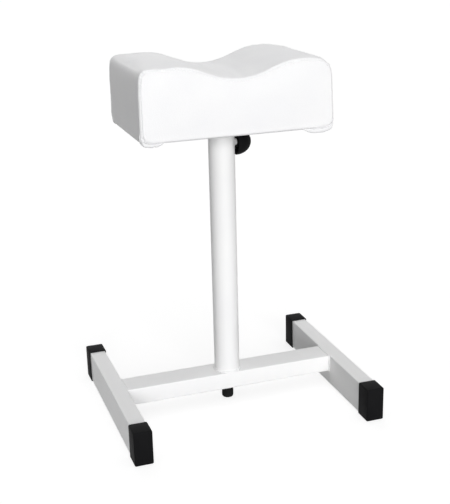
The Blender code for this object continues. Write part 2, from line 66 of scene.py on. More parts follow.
# Rails, crossbar and boots
TUBE_CORNER = 0.0016
BOOT_ROUNDING = 0.0022
BOOT_MOUTH_ROUNDING = 0.0005
BOOT_WALL = 0.0013
BOOT_END_WALL = 0.0025
SOLE_MARGIN = 0.004
SOLE_RECESS = 0.0006
BAR_BOLT_HOLE = 0.0043
WELD_RADIUS = 0.0019
BAR_WELD_RADIUS = WELD_RADIUS * 0.85
WELD_PITCH = 0.0026          # from one ripple of a weld to the next
WELD_POINTS = 5              # points along one ripple
WELD_RIPPLE = 0.07           # height of a ripple, as a share of the bead's radius
WELD_UNEVEN = 0.10           # height of its slower unevenness, the same way
WELD_UNEVEN_SCALE = 160

# The foot under the post
FOOT_LIP = 0.001             # thickness of the rim that stands up round the bolt's head
FOOT_WALL = 0.006            # below this height its wall leans in
FOOT_LEAN = 0.0002
FOOT_ROUNDING = 0.0034
FOOT_RING = 0.6              # inner radius of the ring that it stands on, as a share of its own
FOOT_HOLLOW = 0.55           # radius of the hollow's roof inside the ring, the same way
FOOT_HOLLOW_DEPTH = 0.0005

# Post, clamp and lift
POST_RADIUS = 0.020
POST_BORE = 0.0185
CLAMP_HEIGHT = 0.4187
CLAMP_BAND = 0.009           # half the height of the band of the post round the clamp's hole
SLEEVE_RADIUS = 0.0182
SLEEVE_BORE = 0.0163
COLLAR_THICKNESS = 0.003
COLLAR_ROUNDING = 0.0009
TUBE_RADIUS = 0.016
TUBE_BORE = 0.0145
SCREW_HOLE = 0.0043
PAD_HOLE = 0.0040
BOSS_HOLE = 0.0060
BOSS_WELD_FOOT = 0.0072      # radius of the boss's weld where it leaves the post
BOSS_WELD = (                # its line: radius, distance from the post's middle, rounding
    (0.0064, 0.0203, 0.0004), (0.0056, 0.0212, 0.0004), (0.0050, 0.0226, 0.0004),
    (0.0047, 0.0233, 0.0002),
)
KNOB_START = 0.0215
KNOB_RADIUS = 0.020
KNOB_LENGTH = 0.0245
KNOB_RIM = 0.0015            # the straight part of its outside, at the rim
KNOB_RIM_ROUNDING = 0.0008
KNOB_INNER = 0.0174
KNOB_SKIRT = 0.003           # the straight part of its inside
KNOB_ROOF = 0.53             # depth of its hollow, as a share of its length
KNOB_ROOF_WIDTH = 0.74       # width of the hollow's flat roof, as a share of the mouth's
KNOB_HOLLOW_ROUNDING = 0.0020
KNOB_HUB_RADIUS = 0.0085
KNOB_HUB_START = 0.0235
KNOB_HUB_EDGE = 0.0006
KNOB_HUB_FILLET = 0.0010
KNOB_HOLE_END = 0.0378
KNOB_RIBS = 6
RIB_THICKNESS = 0.0016
RIB_IN_HUB = 0.001
RIB_INSET = 0.004            # from the knob's rim to the ribs
RIB_SHORTFALL = 0.0005       # from a rib's end to the knob's wall
RIB_TAPER = 0.24             # how far a rib's end leans in at the roof, as a share of the inside
RIB_EDGE = 0.35              # rounding of its free edge, as a share of its thickness

# Seat plate and board
PLATE_CORNER = 0.010
PLATE_EDGE = 0.0005
SCREW_INSET = 0.015
WOOD_SCREW_HOLE = 0.0024
BOARD_CORNER = 0.014
BOARD_LOWER_EDGE = 0.0070
BOARD_UPPER_EDGE = 0.0010


# Tools for making pieces
def only(piece):
    """Selects one piece alone, in object mode."""
    if bpy.context.mode != "OBJECT":
        bpy.ops.object.mode_set(mode="OBJECT")
    bpy.ops.object.select_all(action="DESELECT")
    piece.select_set(True)
    bpy.context.view_layer.objects.active = piece


def edit(piece):
    only(piece)
    bpy.ops.object.mode_set(mode="EDIT")
    bpy.ops.mesh.select_all(action="DESELECT")


def leave_edit():
    bpy.ops.object.mode_set(mode="OBJECT")


def choose(piece, kind, test):
    """Selects the faces, edges or points that pass a test of their middle and direction."""
    bpy.ops.mesh.select_mode(type=kind)
    bpy.ops.mesh.select_all(action="DESELECT")
    bm = bmesh.from_edit_mesh(piece.data)
    if kind == "FACE":
        chosen = [f for f in bm.faces if test(f.calc_center_median(), f.normal)]
    elif kind == "EDGE":
        ends = [(e, e.verts[0].co, e.verts[1].co) for e in bm.edges]
        chosen = [e for e, a, b in ends if test((a + b) / 2, (b - a).normalized())]
    else:
        chosen = [v for v in bm.verts if test(v.co, v.normal)]
    for item in chosen:
        item.select_set(True)
    bm.select_flush_mode()
    bmesh.update_edit_mesh(piece.data)


def round_edges(width, steps):
    bpy.ops.mesh.bevel(offset=width, segments=steps, profile=0.5, affect="EDGES")


def named(piece, name):
    """Gives a piece and its data the same name."""
    piece.name = name
    piece.data.name = name
    return piece


def put_in_scene(name, data):
    thing = bpy.data.objects.new(name, data)
    bpy.context.scene.collection.objects.link(thing)
    return thing


def settle(piece):
    """Puts the piece's place into its mesh and its origin at the frame's."""
    only(piece)
    bpy.ops.object.transform_apply(location=True, rotation=True, scale=True)


def cube(name, low, high):
    bpy.ops.object.select_all(action="DESELECT")
    bpy.ops.mesh.primitive_cube_add(size=1.0, location=(Vector(low) + Vector(high)) / 2)
    piece = named(bpy.context.object, name)
    piece.scale = Vector(high) - Vector(low)
    settle(piece)
    return piece


def select_whole(piece):
    edit(piece)
    bpy.ops.mesh.select_all(action="SELECT")


def merge_doubles(piece):
    select_whole(piece)
    bpy.ops.mesh.remove_doubles(threshold=SAME_POINT)
    bpy.ops.mesh.normals_make_consistent(inside=False)
    leave_edit()


def apply_modifier(piece, name):
    only(piece)
    bpy.ops.object.modifier_apply(modifier=name)


def rounded_profile(corners, closed, steps=4):
    """(radius, height, rounding) corners made a finer line of (radius, height) points."""
    line = []
    count = len(corners)
    for i, (radius, height, rounding) in enumerate(corners):
        here = Vector((radius, height))
        ends = not closed and i in (0, count - 1)
        if rounding <= 0 or ends:
            line.append(here)
            continue
        before = Vector(corners[i - 1][:2])
        after = Vector(corners[(i + 1) % count][:2])
        start = here + (before - here).normalized() * rounding
        end = here + (after - here).normalized() * rounding
        for step in range(steps + 1):
            t = step / steps
            line.append(start.lerp(here, t).lerp(here.lerp(end, t), t))
    if closed:
        line.append(line[0])
    return [(max(point.x, TINY), point.y) for point in line]


def turned(name, corners, sides, closed=True):
    """A profile turned about Z: each ring is extruded from the last, then moved and scaled."""
    profile = rounded_profile(corners, closed)
    bpy.ops.object.select_all(action="DESELECT")
    radius, height = profile[0]
    bpy.ops.mesh.primitive_circle_add(vertices=sides, radius=radius, location=(0, 0, height))
    piece = named(bpy.context.object, name)
    settle(piece)
    bpy.ops.object.mode_set(mode="EDIT")
    bpy.ops.mesh.select_mode(type="VERT")
    bpy.ops.mesh.select_all(action="SELECT")
    for (r0, z0), (r1, z1) in zip(profile, profile[1:]):
        bpy.ops.mesh.extrude_region_move(TRANSFORM_OT_translate={"value": (0, 0, z1 - z0)})
        share = r1 / r0
        bpy.ops.transform.resize(value=(share, share, 1), center_override=(0, 0, z1))
    for pole in {profile[0], profile[-1]}:
        if pole[0] <= TINY:
            choose(piece, "VERT", lambda c, n: math.hypot(c.x, c.y) < 2 * TINY
                   and abs(c.z - pole[1]) < TINY)
            bpy.ops.mesh.merge(type="CENTER")
    leave_edit()
    merge_doubles(piece)
    return piece


def lay_on_clamp_axis(piece):
    """Turns a piece made along Z so that it lies along X at the clamp's height."""
    piece.rotation_euler = (0.0, math.pi / 2, 0.0)
    piece.location = (0.0, 0.0, CLAMP_HEIGHT)
    settle(piece)


def drill(piece, radius, start, end, sides=48):
    """Bores a round hole from one point to another."""
    start, end = Vector(start), Vector(end)
    bpy.ops.object.select_all(action="DESELECT")
    turn = (end - start).to_track_quat("Z", "Y").to_euler()
    bpy.ops.mesh.primitive_cylinder_add(vertices=sides, radius=radius, depth=(end - start).length,
                                        location=(start + end) / 2, rotation=turn)
    tool = bpy.context.object
    hole = piece.modifiers.new("hole", "BOOLEAN")
    hole.operation = "DIFFERENCE"
    hole.solver = "EXACT"
    hole.object = tool
    apply_modifier(piece, "hole")
    bpy.data.objects.remove(tool, do_unlink=True)


def give_wall(piece, thickness):
    """Thickens a shell inwards."""
    wall = piece.modifiers.new("wall", "SOLIDIFY")
    wall.thickness = thickness
    wall.offset = -1.0
    wall.use_even_offset = True
    wall.use_rim = True
    apply_modifier(piece, "wall")


def copied(piece, name, matrix=Matrix()):
    """A copy with a mesh of its own, moved by the matrix."""
    twin = piece.copy()
    twin.data = piece.data.copy()
    named(twin, name)
    bpy.context.scene.collection.objects.link(twin)
    twin.data.transform(matrix)
    return twin


def joined(pieces, name):
    only(pieces[0])
    for piece in pieces[1:]:
        piece.select_set(True)
    bpy.ops.object.join()
    return named(bpy.context.object, name)


def hand_over(piece, body, slot, node=None, smooth=SMOOTH_ANGLE):
    """Smooths a finished piece and gives it its finish, its body and the node it stands for."""
    only(piece)
    bpy.ops.object.shade_smooth_by_angle(angle=math.radians(smooth))
    piece.data.materials.clear()
    piece.data.materials.append(FINISHES[slot])
    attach(piece, body)
    if node:
        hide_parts(node)


# Base
def box_tube(name, node, axis):
    """A rectangular tube with rounded corners, open at both ends along an axis: 0 is X, 1 is Y."""
    low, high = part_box(node)
    tube = cube(name, low, high)
    edit(tube)
    choose(tube, "EDGE", lambda c, d: abs(d[axis]) > ALONG)
    round_edges(TUBE_CORNER, steps=5)
    choose(tube, "FACE", lambda c, n: abs(n[axis]) > ALONG)
    bpy.ops.mesh.delete(type="FACE")
    leave_edit()
    give_wall(tube, STEEL_WALL)
    return tube


def make_rails():
    for side in ("left", "right"):
        rail = box_tube(f"{side}_rail_tube", f"{side}_rail", axis=1)
        hand_over(rail, "base", "white_powder_coat", f"{side}_rail")


def make_crossbar():
    bar = box_tube("crossbar_tube", "crossbar", axis=0)
    low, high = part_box("crossbar")
    drill(bar, BAR_BOLT_HOLE, (0, 0, low.z - GAP), (0, 0, high.z + GAP))
    hand_over(bar, "base", "white_powder_coat", "crossbar")


def make_weld_bead(name, path, radius):
    """A closed bead of weld metal along a path, with the ripples of its making."""
    lengths = [0.0]
    for a, b in zip(path, path[1:] + path[:1]):
        lengths.append(lengths[-1] + (b - a).length)
    whole = lengths[-1]
    ripples = round(whole / WELD_PITCH)
    count = ripples * WELD_POINTS
    curve = bpy.data.curves.new(name, "CURVE")
    curve.dimensions = "3D"
    curve.bevel_depth = radius
    curve.bevel_resolution = 2
    spline = curve.splines.new("POLY")
    spline.points.add(count - 1)
    spline.use_cyclic_u = True
    closed = path + path[:1]
    for i, point in enumerate(spline.points):
        run = whole * i / count
        k = max(j for j, length in enumerate(lengths[:-1]) if length <= run)
        share = (run - lengths[k]) / max(lengths[k + 1] - lengths[k], TINY)
        place = closed[k].lerp(closed[k + 1], share)
        ripple = math.sin(math.tau * ripples * i / count)
        uneven = noise.noise(place * WELD_UNEVEN_SCALE)
        point.co = (*place, 1.0)
        point.radius = 1.0 + WELD_RIPPLE * ripple + WELD_UNEVEN * uneven
    only(put_in_scene(name, curve))
    bpy.ops.object.convert(target="MESH")
    bead = bpy.context.object
    bead.data.name = name
    merge_doubles(bead)
    hand_over(bead, "base", "white_powder_coat", smooth=60)


def round_path(radius, height, steps=96):
    angles = [math.tau * i / steps for i in range(steps)]
    return [Vector((radius * math.cos(a), radius * math.sin(a), height)) for a in angles]


def bar_end_path(x, corner_steps=4):
    """A line round the crossbar's rounded outline at one of its ends."""
    low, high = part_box("crossbar")
    path = []
    for quarter, (sy, z) in enumerate(((1, high.z), (-1, high.z), (-1, low.z), (1, low.z))):
        rise = -TUBE_CORNER if z == high.z else TUBE_CORNER
        middle = Vector((x, sy * (high.y - TUBE_CORNER), z + rise))
        for step in range(corner_steps + 1):
            angle = math.pi / 2 * (quarter + step / corner_steps)
            path.append(middle + TUBE_CORNER * Vector((0, math.cos(angle), math.sin(angle))))
    return path


def make_base_welds():
    """Beads round the foot of the post and round both ends of the crossbar."""
    low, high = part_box("crossbar")
    make_weld_bead("post_weld", round_path(POST_RADIUS + GAP, high.z + GAP), WELD_RADIUS)
    for side, x in (("left", low.x), ("right", high.x)):
        make_weld_bead(f"crossbar_weld_{side}", bar_end_path(x), BAR_WELD_RADIUS)


def make_boots():
    """A moulded cap with a deep pocket, made once and copied to the four rail ends."""
    low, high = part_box("boot_front_left")
    boot = cube("rail_boot", low, high)
    edit(boot)
    choose(boot, "EDGE", lambda c, d: c.y < high.y - TINY)
    round_edges(BOOT_ROUNDING, steps=5)
    choose(boot, "EDGE", lambda c, d: c.y > high.y - TINY)
    round_edges(BOOT_MOUTH_ROUNDING, steps=3)
    choose(boot, "FACE", lambda c, n: n.y > FACING)
    bpy.ops.mesh.inset(thickness=BOOT_WALL - BOOT_MOUTH_ROUNDING, depth=0.0)
    depth = high.y - low.y - BOOT_END_WALL
    bpy.ops.mesh.extrude_region_move(TRANSFORM_OT_translate={"value": (0, -depth, 0)})
    choose(boot, "FACE", lambda c, n: n.z < -FACING and c.z < TINY)
    bpy.ops.mesh.inset(thickness=SOLE_MARGIN - BOOT_ROUNDING, depth=0.0)
    bpy.ops.mesh.inset(thickness=SOLE_RECESS, depth=-SOLE_RECESS)
    leave_edit()
    rail_x = (low.x + high.x) / 2
    half_turn = Matrix.Rotation(math.pi, 4, "Z")
    for side, sign in (("left", -1), ("right", 1)):
        shift = Matrix.Translation((sign * abs(rail_x) - rail_x, 0, 0))
        rail = Vector((sign * abs(rail_x), 0, 0))
        to_rear = Matrix.Translation(rail) @ half_turn @ Matrix.Translation(-rail) @ shift
        for end, place in (("front", shift), ("rear", to_rear)):
            twin = copied(boot, f"{end}_{side}_boot", place)
            hand_over(twin, "base", "black_plastic", f"boot_{end}_{side}", smooth=40)
    bpy.data.objects.remove(boot, do_unlink=True)


def make_centre_foot():
    """A round foot that hides the head of the post's bolt."""
    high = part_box("centre_foot")[1]
    radius = high.x
    recess = radius - FOOT_LIP
    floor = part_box("base_bolt")[0].z - GAP
    corners = [(0, floor, 0), (recess, floor, 0), (recess, high.z, 0), (radius, high.z, FINE_EDGE),
               (radius, FOOT_WALL, 0), (radius - FOOT_LEAN, 0, FOOT_ROUNDING),
               (radius * FOOT_RING, 0, 0), (radius * FOOT_HOLLOW, FOOT_HOLLOW_DEPTH, 0),
               (0, FOOT_HOLLOW_DEPTH, 0)]
    foot = turned("bolt_head_foot", corners, sides=64, closed=False)
    hand_over(foot, "base", "black_rubber", "centre_foot")


# Post, sleeve and lift tube
def make_post():
    low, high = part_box("post_tube")
    band = (CLAMP_HEIGHT - CLAMP_BAND, CLAMP_HEIGHT + CLAMP_BAND)
    corners = [(POST_RADIUS, low.z, 0), (POST_RADIUS, band[0], 0), (POST_RADIUS, band[1], 0),
               (POST_RADIUS, high.z, EASED_EDGE), (POST_BORE, high.z, FINE_EDGE),
               (POST_BORE, band[1], 0), (POST_BORE, band[0], 0), (POST_BORE, low.z, 0)]
    post = turned("post_column", corners, sides=128)
    drill(post, BOSS_HOLE, (POST_BORE / 2, 0, CLAMP_HEIGHT), (POST_RADIUS * 1.5, 0, CLAMP_HEIGHT))
    hand_over(post, "base", "white_powder_coat", "post_tube")


def make_clamp_boss():
    """The threaded boss with the weld that tapers out from the post round it."""
    inner = POST_BORE + TINY
    tip = BOSS_WELD[-1][1]
    corners = [(SCREW_HOLE, inner, 0), (BOSS_WELD_FOOT, inner, 0), *BOSS_WELD, (SCREW_HOLE, tip, 0)]
    boss = turned("clamp_boss_weld", corners, sides=64)
    lay_on_clamp_axis(boss)
    hand_over(boss, "base", "white_powder_coat", "clamp_boss", smooth=40)


def make_sleeve():
    """The guide in the post's mouth, with a collar that lies on the post's end."""
    low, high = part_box("guide_sleeve")
    shoulder = high.z - COLLAR_THICKNESS
    corners = [(SLEEVE_BORE, high.z, SMALL_EDGE), (POST_RADIUS, high.z, COLLAR_ROUNDING),
               (POST_RADIUS, shoulder, HAIR_EDGE), (SLEEVE_RADIUS, shoulder, 0),
               (SLEEVE_RADIUS, low.z, SMALL_EDGE), (SLEEVE_BORE, low.z, FINE_EDGE)]
    sleeve = turned("collar_sleeve", corners, sides=96)
    drill(sleeve, PAD_HOLE, (SLEEVE_BORE / 2, 0, CLAMP_HEIGHT), (POST_RADIUS, 0, CLAMP_HEIGHT))
    hand_over(sleeve, "base", "black_nylon", "guide_sleeve")


def make_inner_tube():
    low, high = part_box("inner_tube")
    corners = [(TUBE_RADIUS, low.z, SMALL_EDGE), (TUBE_RADIUS, high.z, HAIR_EDGE),
               (TUBE_BORE, high.z, 0), (TUBE_BORE, low.z, FINE_EDGE)]
    tube = turned("lift_tube", corners, sides=96)
    hand_over(tube, "seat", "chrome_tube", "inner_tube")


# Clamp knob
def dome(steps=14):
    """The knob's outer line from the rim to the crown."""
    rim = KNOB_START + KNOB_RIM
    length = KNOB_LENGTH - KNOB_RIM
    line = []
    for i in range(steps + 1):
        angle = math.pi / 2 * i / steps
        line.append((KNOB_RADIUS * math.cos(angle), rim + length * math.sin(angle), 0))
    return line


def knob_rib(turn, roof):
    """One rib from the hub to the knob's wall, with a rounded free edge."""
    half = RIB_THICKNESS / 2
    start = KNOB_START + RIB_INSET
    rib = cube("rib", (KNOB_HUB_RADIUS - RIB_IN_HUB, -half, start),
               (KNOB_INNER - RIB_SHORTFALL, half, roof))
    edit(rib)
    choose(rib, "EDGE", lambda c, d: c.z < start + TINY)
    round_edges(RIB_THICKNESS * RIB_EDGE, steps=2)
    choose(rib, "VERT", lambda c, n: c.z > roof - TINY and c.x > KNOB_INNER - 2 * RIB_SHORTFALL)
    bpy.ops.transform.translate(value=(-KNOB_INNER * RIB_TAPER, 0, 0))
    leave_edit()
    rib.data.transform(Matrix.Rotation(turn, 4, "Z"))
    return rib


def make_knob():
    """A hollow dome with a hub for the screw and ribs between hub and rim."""
    roof = KNOB_START + KNOB_LENGTH * KNOB_ROOF
    corners = [(0, KNOB_HOLE_END, 0), (SCREW_HOLE, KNOB_HOLE_END, 0),
               (SCREW_HOLE, KNOB_HUB_START, FINE_EDGE),
               (KNOB_HUB_RADIUS, KNOB_HUB_START, KNOB_HUB_EDGE),
               (KNOB_HUB_RADIUS, roof, KNOB_HUB_FILLET),
               (KNOB_INNER * KNOB_ROOF_WIDTH, roof, KNOB_HOLLOW_ROUNDING),
               (KNOB_INNER, KNOB_START + KNOB_SKIRT, KNOB_HOLLOW_ROUNDING),
               (KNOB_INNER, KNOB_START, SMALL_EDGE),
               (KNOB_RADIUS, KNOB_START, KNOB_RIM_ROUNDING)]
    shell = turned("clamp_knob_grip", corners + dome(), sides=96, closed=False)
    ribs = [knob_rib(math.tau * (i + 0.5) / KNOB_RIBS, roof) for i in range(KNOB_RIBS)]
    knob = joined([shell, *ribs], "clamp_knob_grip")
    lay_on_clamp_axis(knob)
    hand_over(knob, "knob", "black_plastic", "clamp_knob", smooth=40)


# Seat plate and board
def drill_screw_holes(piece, low, high):
    """Bores the four wood screws' holes through the plate or the board."""
    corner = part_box("seat_plate")[1]
    for sx in (-1, 1):
        for sy in (-1, 1):
            x = sx * (corner.x - SCREW_INSET)
            y = sy * (corner.y - SCREW_INSET)
            drill(piece, WOOD_SCREW_HOLE, (x, y, low - OVERRUN), (x, y, high + OVERRUN), sides=24)


def make_seat_plate():
    low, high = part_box("seat_plate")
    plate = cube("seat_mounting_plate", low, high)
    edit(plate)
    choose(plate, "EDGE", lambda c, d: abs(d.z) > ALONG)
    round_edges(PLATE_CORNER, steps=8)
    choose(plate, "EDGE", lambda c, d: abs(d.z) < LEVEL)
    round_edges(PLATE_EDGE, steps=2)
    leave_edit()
    drill_screw_holes(plate, low.z, high.z)
    hand_over(plate, "seat", "white_powder_coat", "seat_plate", smooth=40)


def make_board():
    """The plywood under the foam, its edges eased where the vinyl is pulled round them."""
    low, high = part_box("seat_board")
    board = cube("plywood_board", low, high)
    edit(board)
    choose(board, "EDGE", lambda c, d: abs(d.z) > ALONG)
    round_edges(BOARD_CORNER, steps=6)
    choose(board, "EDGE", lambda c, d: abs(d.z) < LEVEL and c.z < low.z + TINY)
    round_edges(BOARD_LOWER_EDGE, steps=5)
    choose(board, "EDGE", lambda c, d: abs(d.z) < LEVEL and c.z > high.z - TINY)
    round_edges(BOARD_UPPER_EDGE, steps=2)
    leave_edit()
    drill_screw_holes(board, low.z, high.z)
    hand_over(board, "seat", "plywood", "seat_board", smooth=40)


# Cushion: sizes
CUSHION_HALF_DEPTH = 0.089   # from the middle to the front seam
VINYL_THICKNESS = 0.0012
LIP_LENGTH = 0.020           # vinyl turned under the board
WRAP, FRONT, REAR, OPEN = range(4)  # the panels, and the part of the underside with no vinyl
CELL = 0.0055                # side of a cell before it is refined
EDGE_STATIONS = (0.0, 0.0009, 0.0020, 0.0034, 0.0052, 0.0076, 0.0106)  # cells beside a seam
INWARD_STEP = 0.001          # between the outline and the one that tells which way is inward
HELD_HEIGHT = 0.013          # the vinyl lies flat on the board's edge up to here
SEAM_ROUNDING = 0.0032
SEAM_TURN = math.radians(15)  # how much of a seam's rounding the flat panel takes
FOLD_ROUNDING = 0.0045
LOWER_CORNER = 0.0115        # the panel's lower corners, seen from the front
FULL_FROM = 0.026            # this far from a seam the outline is at its fullest
CORNER_ROUNDING = 0.0100
CORNER_RISE = 0.015          # height over which a corner gets rounder
CORNER_REACH = 0.020
FAR_FROM_SEAM = 0.05         # said of the fold round the board, which has no seam
SIDE_FOOT = 0.2              # share of the crest's height up to which a side is straight
RIGHT_SHARE = 0.988          # the right side's place, as a share of half the width
RIGHT_LEAN = 0.998           # its place at the top of the straight part, as a share of that

# The cushion's outline, left to right, as shares of half its width and of its crest
SADDLE = (
    (-0.760, 1.000), (-0.600, 0.996), (-0.480, 0.972), (-0.360, 0.915), (-0.240, 0.852),
    (-0.120, 0.808), (0.000, 0.794), (0.120, 0.808), (0.240, 0.852), (0.360, 0.915),
    (0.480, 0.972), (0.600, 0.996),
)
SEAM_OUTLINE = (
    (-1.000, 0.400), (-1.000, 0.700), (-0.990, 0.880), (-0.960, 0.965), (-0.900, 0.998),
    *SADDLE,
    (0.740, 0.998), (0.850, 0.968), (0.918, 0.920), (0.953, 0.840), (0.970, 0.720), (0.979, 0.400),
)
FULL_OUTLINE = (             # half way between the seams
    (-0.998, 0.400), (-1.000, 0.735), (-0.994, 0.885), (-0.960, 0.972), (-0.895, 1.004),
    *SADDLE,
    (0.740, 1.008), (0.850, 0.997), (0.922, 0.962), (0.960, 0.885), (0.976, 0.740), (0.982, 0.400),
)

# Cushion: how the foam swells and what the sewing does
SWELL_FABRIC = {
    "quality": 6, "mass": 0.3, "tension_stiffness": 20, "compression_stiffness": 20,
    "shear_stiffness": 10, "bending_stiffness": 0.5, "use_pressure": True,
    "uniform_pressure_force": 4, "vertex_group_mass": "held",
}
SWELL_CAP = 0.0031           # how far the foam may push the vinyl out
SWELL_FRAMES = 20
SIDE_HOLD = 0.75             # share of the swell that the tight sides hold back
SIDE_FROM = 0.45             # how far sideways a face looks where the hold begins
SIDE_OVER = 0.40             # and over how much more it becomes full
SEAM_GROOVE = 0.00075        # how deep the thread pulls the vinyl in
GROOVE_REACH = 0.0009        # how far from the thread it does so
WRAP_EDGE = (0.00085, 0.0046, 0.0024)  # turned edge beside a seam: height, place and width
PANEL_EDGE = (0.00022, 0.0024, 0.0013)
EDGE_UNEVEN = 0.35           # how much the turned edge's height changes
EDGE_STRETCH = 0.35          # how slowly it does, against the puckers
SEAMS_APART = 3.0            # keeps the front seam's puckers from being the rear seam's
PUCKER_LENGTH = 0.0070
PUCKERS = ((0.00040, 1.0, 0.009), (0.00016, 2.6, 0.0045))  # height, closeness and reach
PUCKER_START = 0.0020        # from the thread to where they are full
WAVES = ((0.00045, 0.045), (0.00014, 0.020))  # slow unevenness of the cover: height and length
WAVE_START = 0.006           # from a seam to where the waves begin
WAVE_OVER = 0.020
WAVE_RISE = 0.02             # height at which they are full, because the board holds the foot
FOLD_START = 0.001           # all of it ends this far below the cover's underside
FOLD_OVER = 0.004            # and is full this much higher
UNDERSIDE = 0.6              # how far down a face looks where the corners' folds end
UNDERSIDE_OVER = 0.4         # and how much less where they are full
GATHER_HEIGHT = 0.00085      # folds that fan out from the lower corners
GATHER_REACH = 0.024
GATHER_START = 0.006         # from the corner to where they are full
GATHER_FAN = 3.4             # how closely they follow each other round the corner
GATHER_BEND = 12             # how fast they change along their length
FOAM_VOXEL = 0.004
FOAM_CLEARANCE = 0.0008      # between the foam and the vinyl

# The folds of vinyl round the lower corners: end, side, length, drop, depth, place of a pleat,
# and how far it stands out over the side. A pleat that lies beyond the length is none.
CORNER_TUCKS = (
    ("front_left", -1, -1, 0.034, 0.0044, 0.021, 0.0185, 0.0024),
    ("front_right", -1, 1, 0.052, 0.0062, 0.023, 0.0800, -0.0014),
    ("rear_left", 1, -1, 0.042, 0.0048, 0.022, 0.0150, 0.0012),
    ("rear_right", 1, 1, 0.038, 0.0042, 0.022, 0.0240, -0.0010),
)
# A tuck's outer and inner edge, in millimetres: distance from the side and height
TUCK_OUTER = ((1.5, 15.5), (0.8, 10.0), (1.5, 3.8), (4.8, -1.6), (11.0, -3.6), (19.5, -4.2),
              (27.0, -2.8), (34.0, 1.2))
TUCK_INNER = ((2.8, 15.5), (3.2, 11.0), (5.0, 6.6), (8.4, 3.1), (13.0, 1.4), (20.0, 0.9),
              (27.0, 1.2), (34.0, 2.4))
TUCK_DRAWN_LENGTH = 0.034
TUCK_DRAWN_DROP = 0.0042
TUCK_ARM = 0.005             # up to here from the side, a tuck is as it is drawn
TUCK_OUT_REACH = 0.022       # how far in from the side its overhang is felt
TUCK_CORNER = 0.0055         # how round the cushion's corner makes it, seen from above
TUCK_TAPER = 0.88            # how much of a tuck's hang is gone at its back
TUCK_FULLEST = 0.86          # what the taper leaves of it at the fullest place
TUCK_SIDES = 36
TUCK_SQUARENESS = 0.65       # exponent that makes its section fuller than an ellipse
TUCK_DEPTH_SQUARENESS = 0.6
TUCK_CREASE = 0.13           # unevenness of its lower edge
TUCK_STARTS = 0.22           # share of its run in which it gets to its full depth
TUCK_ENDS = 0.6              # share of its run after which it thins out
TUCK_END_LOSS = 0.8          # how much of the depth is gone at its end
TUCK_LEAST_DEPTH = 0.12
TUCK_PROUD = 0.0005          # how far it stands in front of the front seam
TUCK_TAIL = 0.65             # share of its run after which it goes back behind the panel
TUCK_TAIL_SINK = 0.0022
PLEAT_DEPTH = 0.38
PLEAT_WIDTH = 0.0009


# Cushion: its outline
def smooth_share(t):
    t = np.clip(t, 0.0, 1.0)
    return t * t * (3 - 2 * t)


def smooth_line(points, steps=10):
    """A smooth line through the points."""
    p = np.array([2 * points[0] - points[1], *points, 2 * points[-1] - points[-2]])
    line = []
    for i in range(1, len(p) - 2):
        for t in np.arange(steps) / steps:
            bend = (2 * p[i - 1] - 5 * p[i] + 4 * p[i + 1] - p[i + 2]) * t ** 2
            twist = (3 * p[i] - p[i - 1] - 3 * p[i + 1] + p[i + 2]) * t ** 3
            line.append(0.5 * (2 * p[i] + (p[i + 1] - p[i - 1]) * t + bend + twist))
    line.append(p[-2])
    return np.array(line)


def arc_points(centre, radius, start, end, steps=6):
    angles = np.radians(np.linspace(start, end, steps + 1))
    return np.array(centre) + radius * np.stack([np.cos(angles), np.sin(angles)], axis=1)


def cushion_outline(shares, r):
    """The front outline as four sides, twice: as it is, and a small step further in."""
    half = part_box("cover_wrap")[1].x
    low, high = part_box("cover_front")
    crest = high.z - low.z
    foot = SIDE_FOOT * crest
    shoulders = [np.array((x * half, z * crest)) for x, z in shares]
    right = half * RIGHT_SHARE
    left_foot = [np.array((-half, r)), np.array((-half, foot))]
    right_foot = [np.array((right * RIGHT_LEAN, foot)), np.array((right, r))]
    over = np.vstack([arc_points((-half + r, r), r, 225, 180)[:-1],
                      smooth_line(left_foot + shoulders + right_foot),
                      arc_points((right - r, r), r, 0, -45)[1:]])
    below = np.vstack([arc_points((right - r, r), r, -45, -90)[1:],
                       arc_points((-half + r, r), r, 270, 225)[:-1]])
    loop = np.vstack([over, below])
    along = np.roll(loop, -1, axis=0) - np.roll(loop, 1, axis=0)
    outward = np.stack([-along[:, 1], along[:, 0]], axis=1)
    outward /= np.linalg.norm(outward, axis=1)[:, None]
    flat = [i for i, (dx, dz) in enumerate(along[:len(over)]) if dx > abs(dz)]
    sets = []
    for line in (loop, loop - outward * INWARD_STEP):
        top = line[:len(over)]
        bottom = np.vstack([top[-1:], line[len(over):], top[:1]])[::-1]
        sets.append({"left": top[:flat[0] + 1], "top": top[flat[0]:flat[-1] + 1],
                     "right": top[flat[-1]:][::-1], "bottom": bottom})
    return sets


def length_of(line):
    return np.linalg.norm(np.diff(line, axis=0), axis=1).sum()


def resampled(line, shares):
    run = np.concatenate([[0.0], np.cumsum(np.linalg.norm(np.diff(line, axis=0), axis=1))])
    return np.stack([np.interp(shares * run[-1], run, line[:, k]) for k in (0, 1)], axis=1)


def stations(length):
    """Places along an edge: close together near both ends, a cell apart between."""
    inner = length - 2 * EDGE_STATIONS[-1]
    count = math.ceil(inner / CELL)
    middle = EDGE_STATIONS[-1] + inner * np.arange(1, count) / count
    return np.array([*EDGE_STATIONS, *middle, *[length - s for s in reversed(EDGE_STATIONS)]])


def patch(sides, u, w):
    """A grid of points filled in between four sides."""
    bottom, top = resampled(sides["bottom"], u), resampled(sides["top"], u)
    left, right = resampled(sides["left"], w), resampled(sides["right"], w)
    u, w = u[:, None, None], w[None, :, None]
    ruled = (1 - w) * bottom[:, None] + w * top[:, None] + (1 - u) * left[None] + u * right[None]
    corners = ((1 - u) * (1 - w) * bottom[0] + u * (1 - w) * bottom[-1]
               + (1 - u) * w * top[0] + u * w * top[-1])
    return ruled - corners


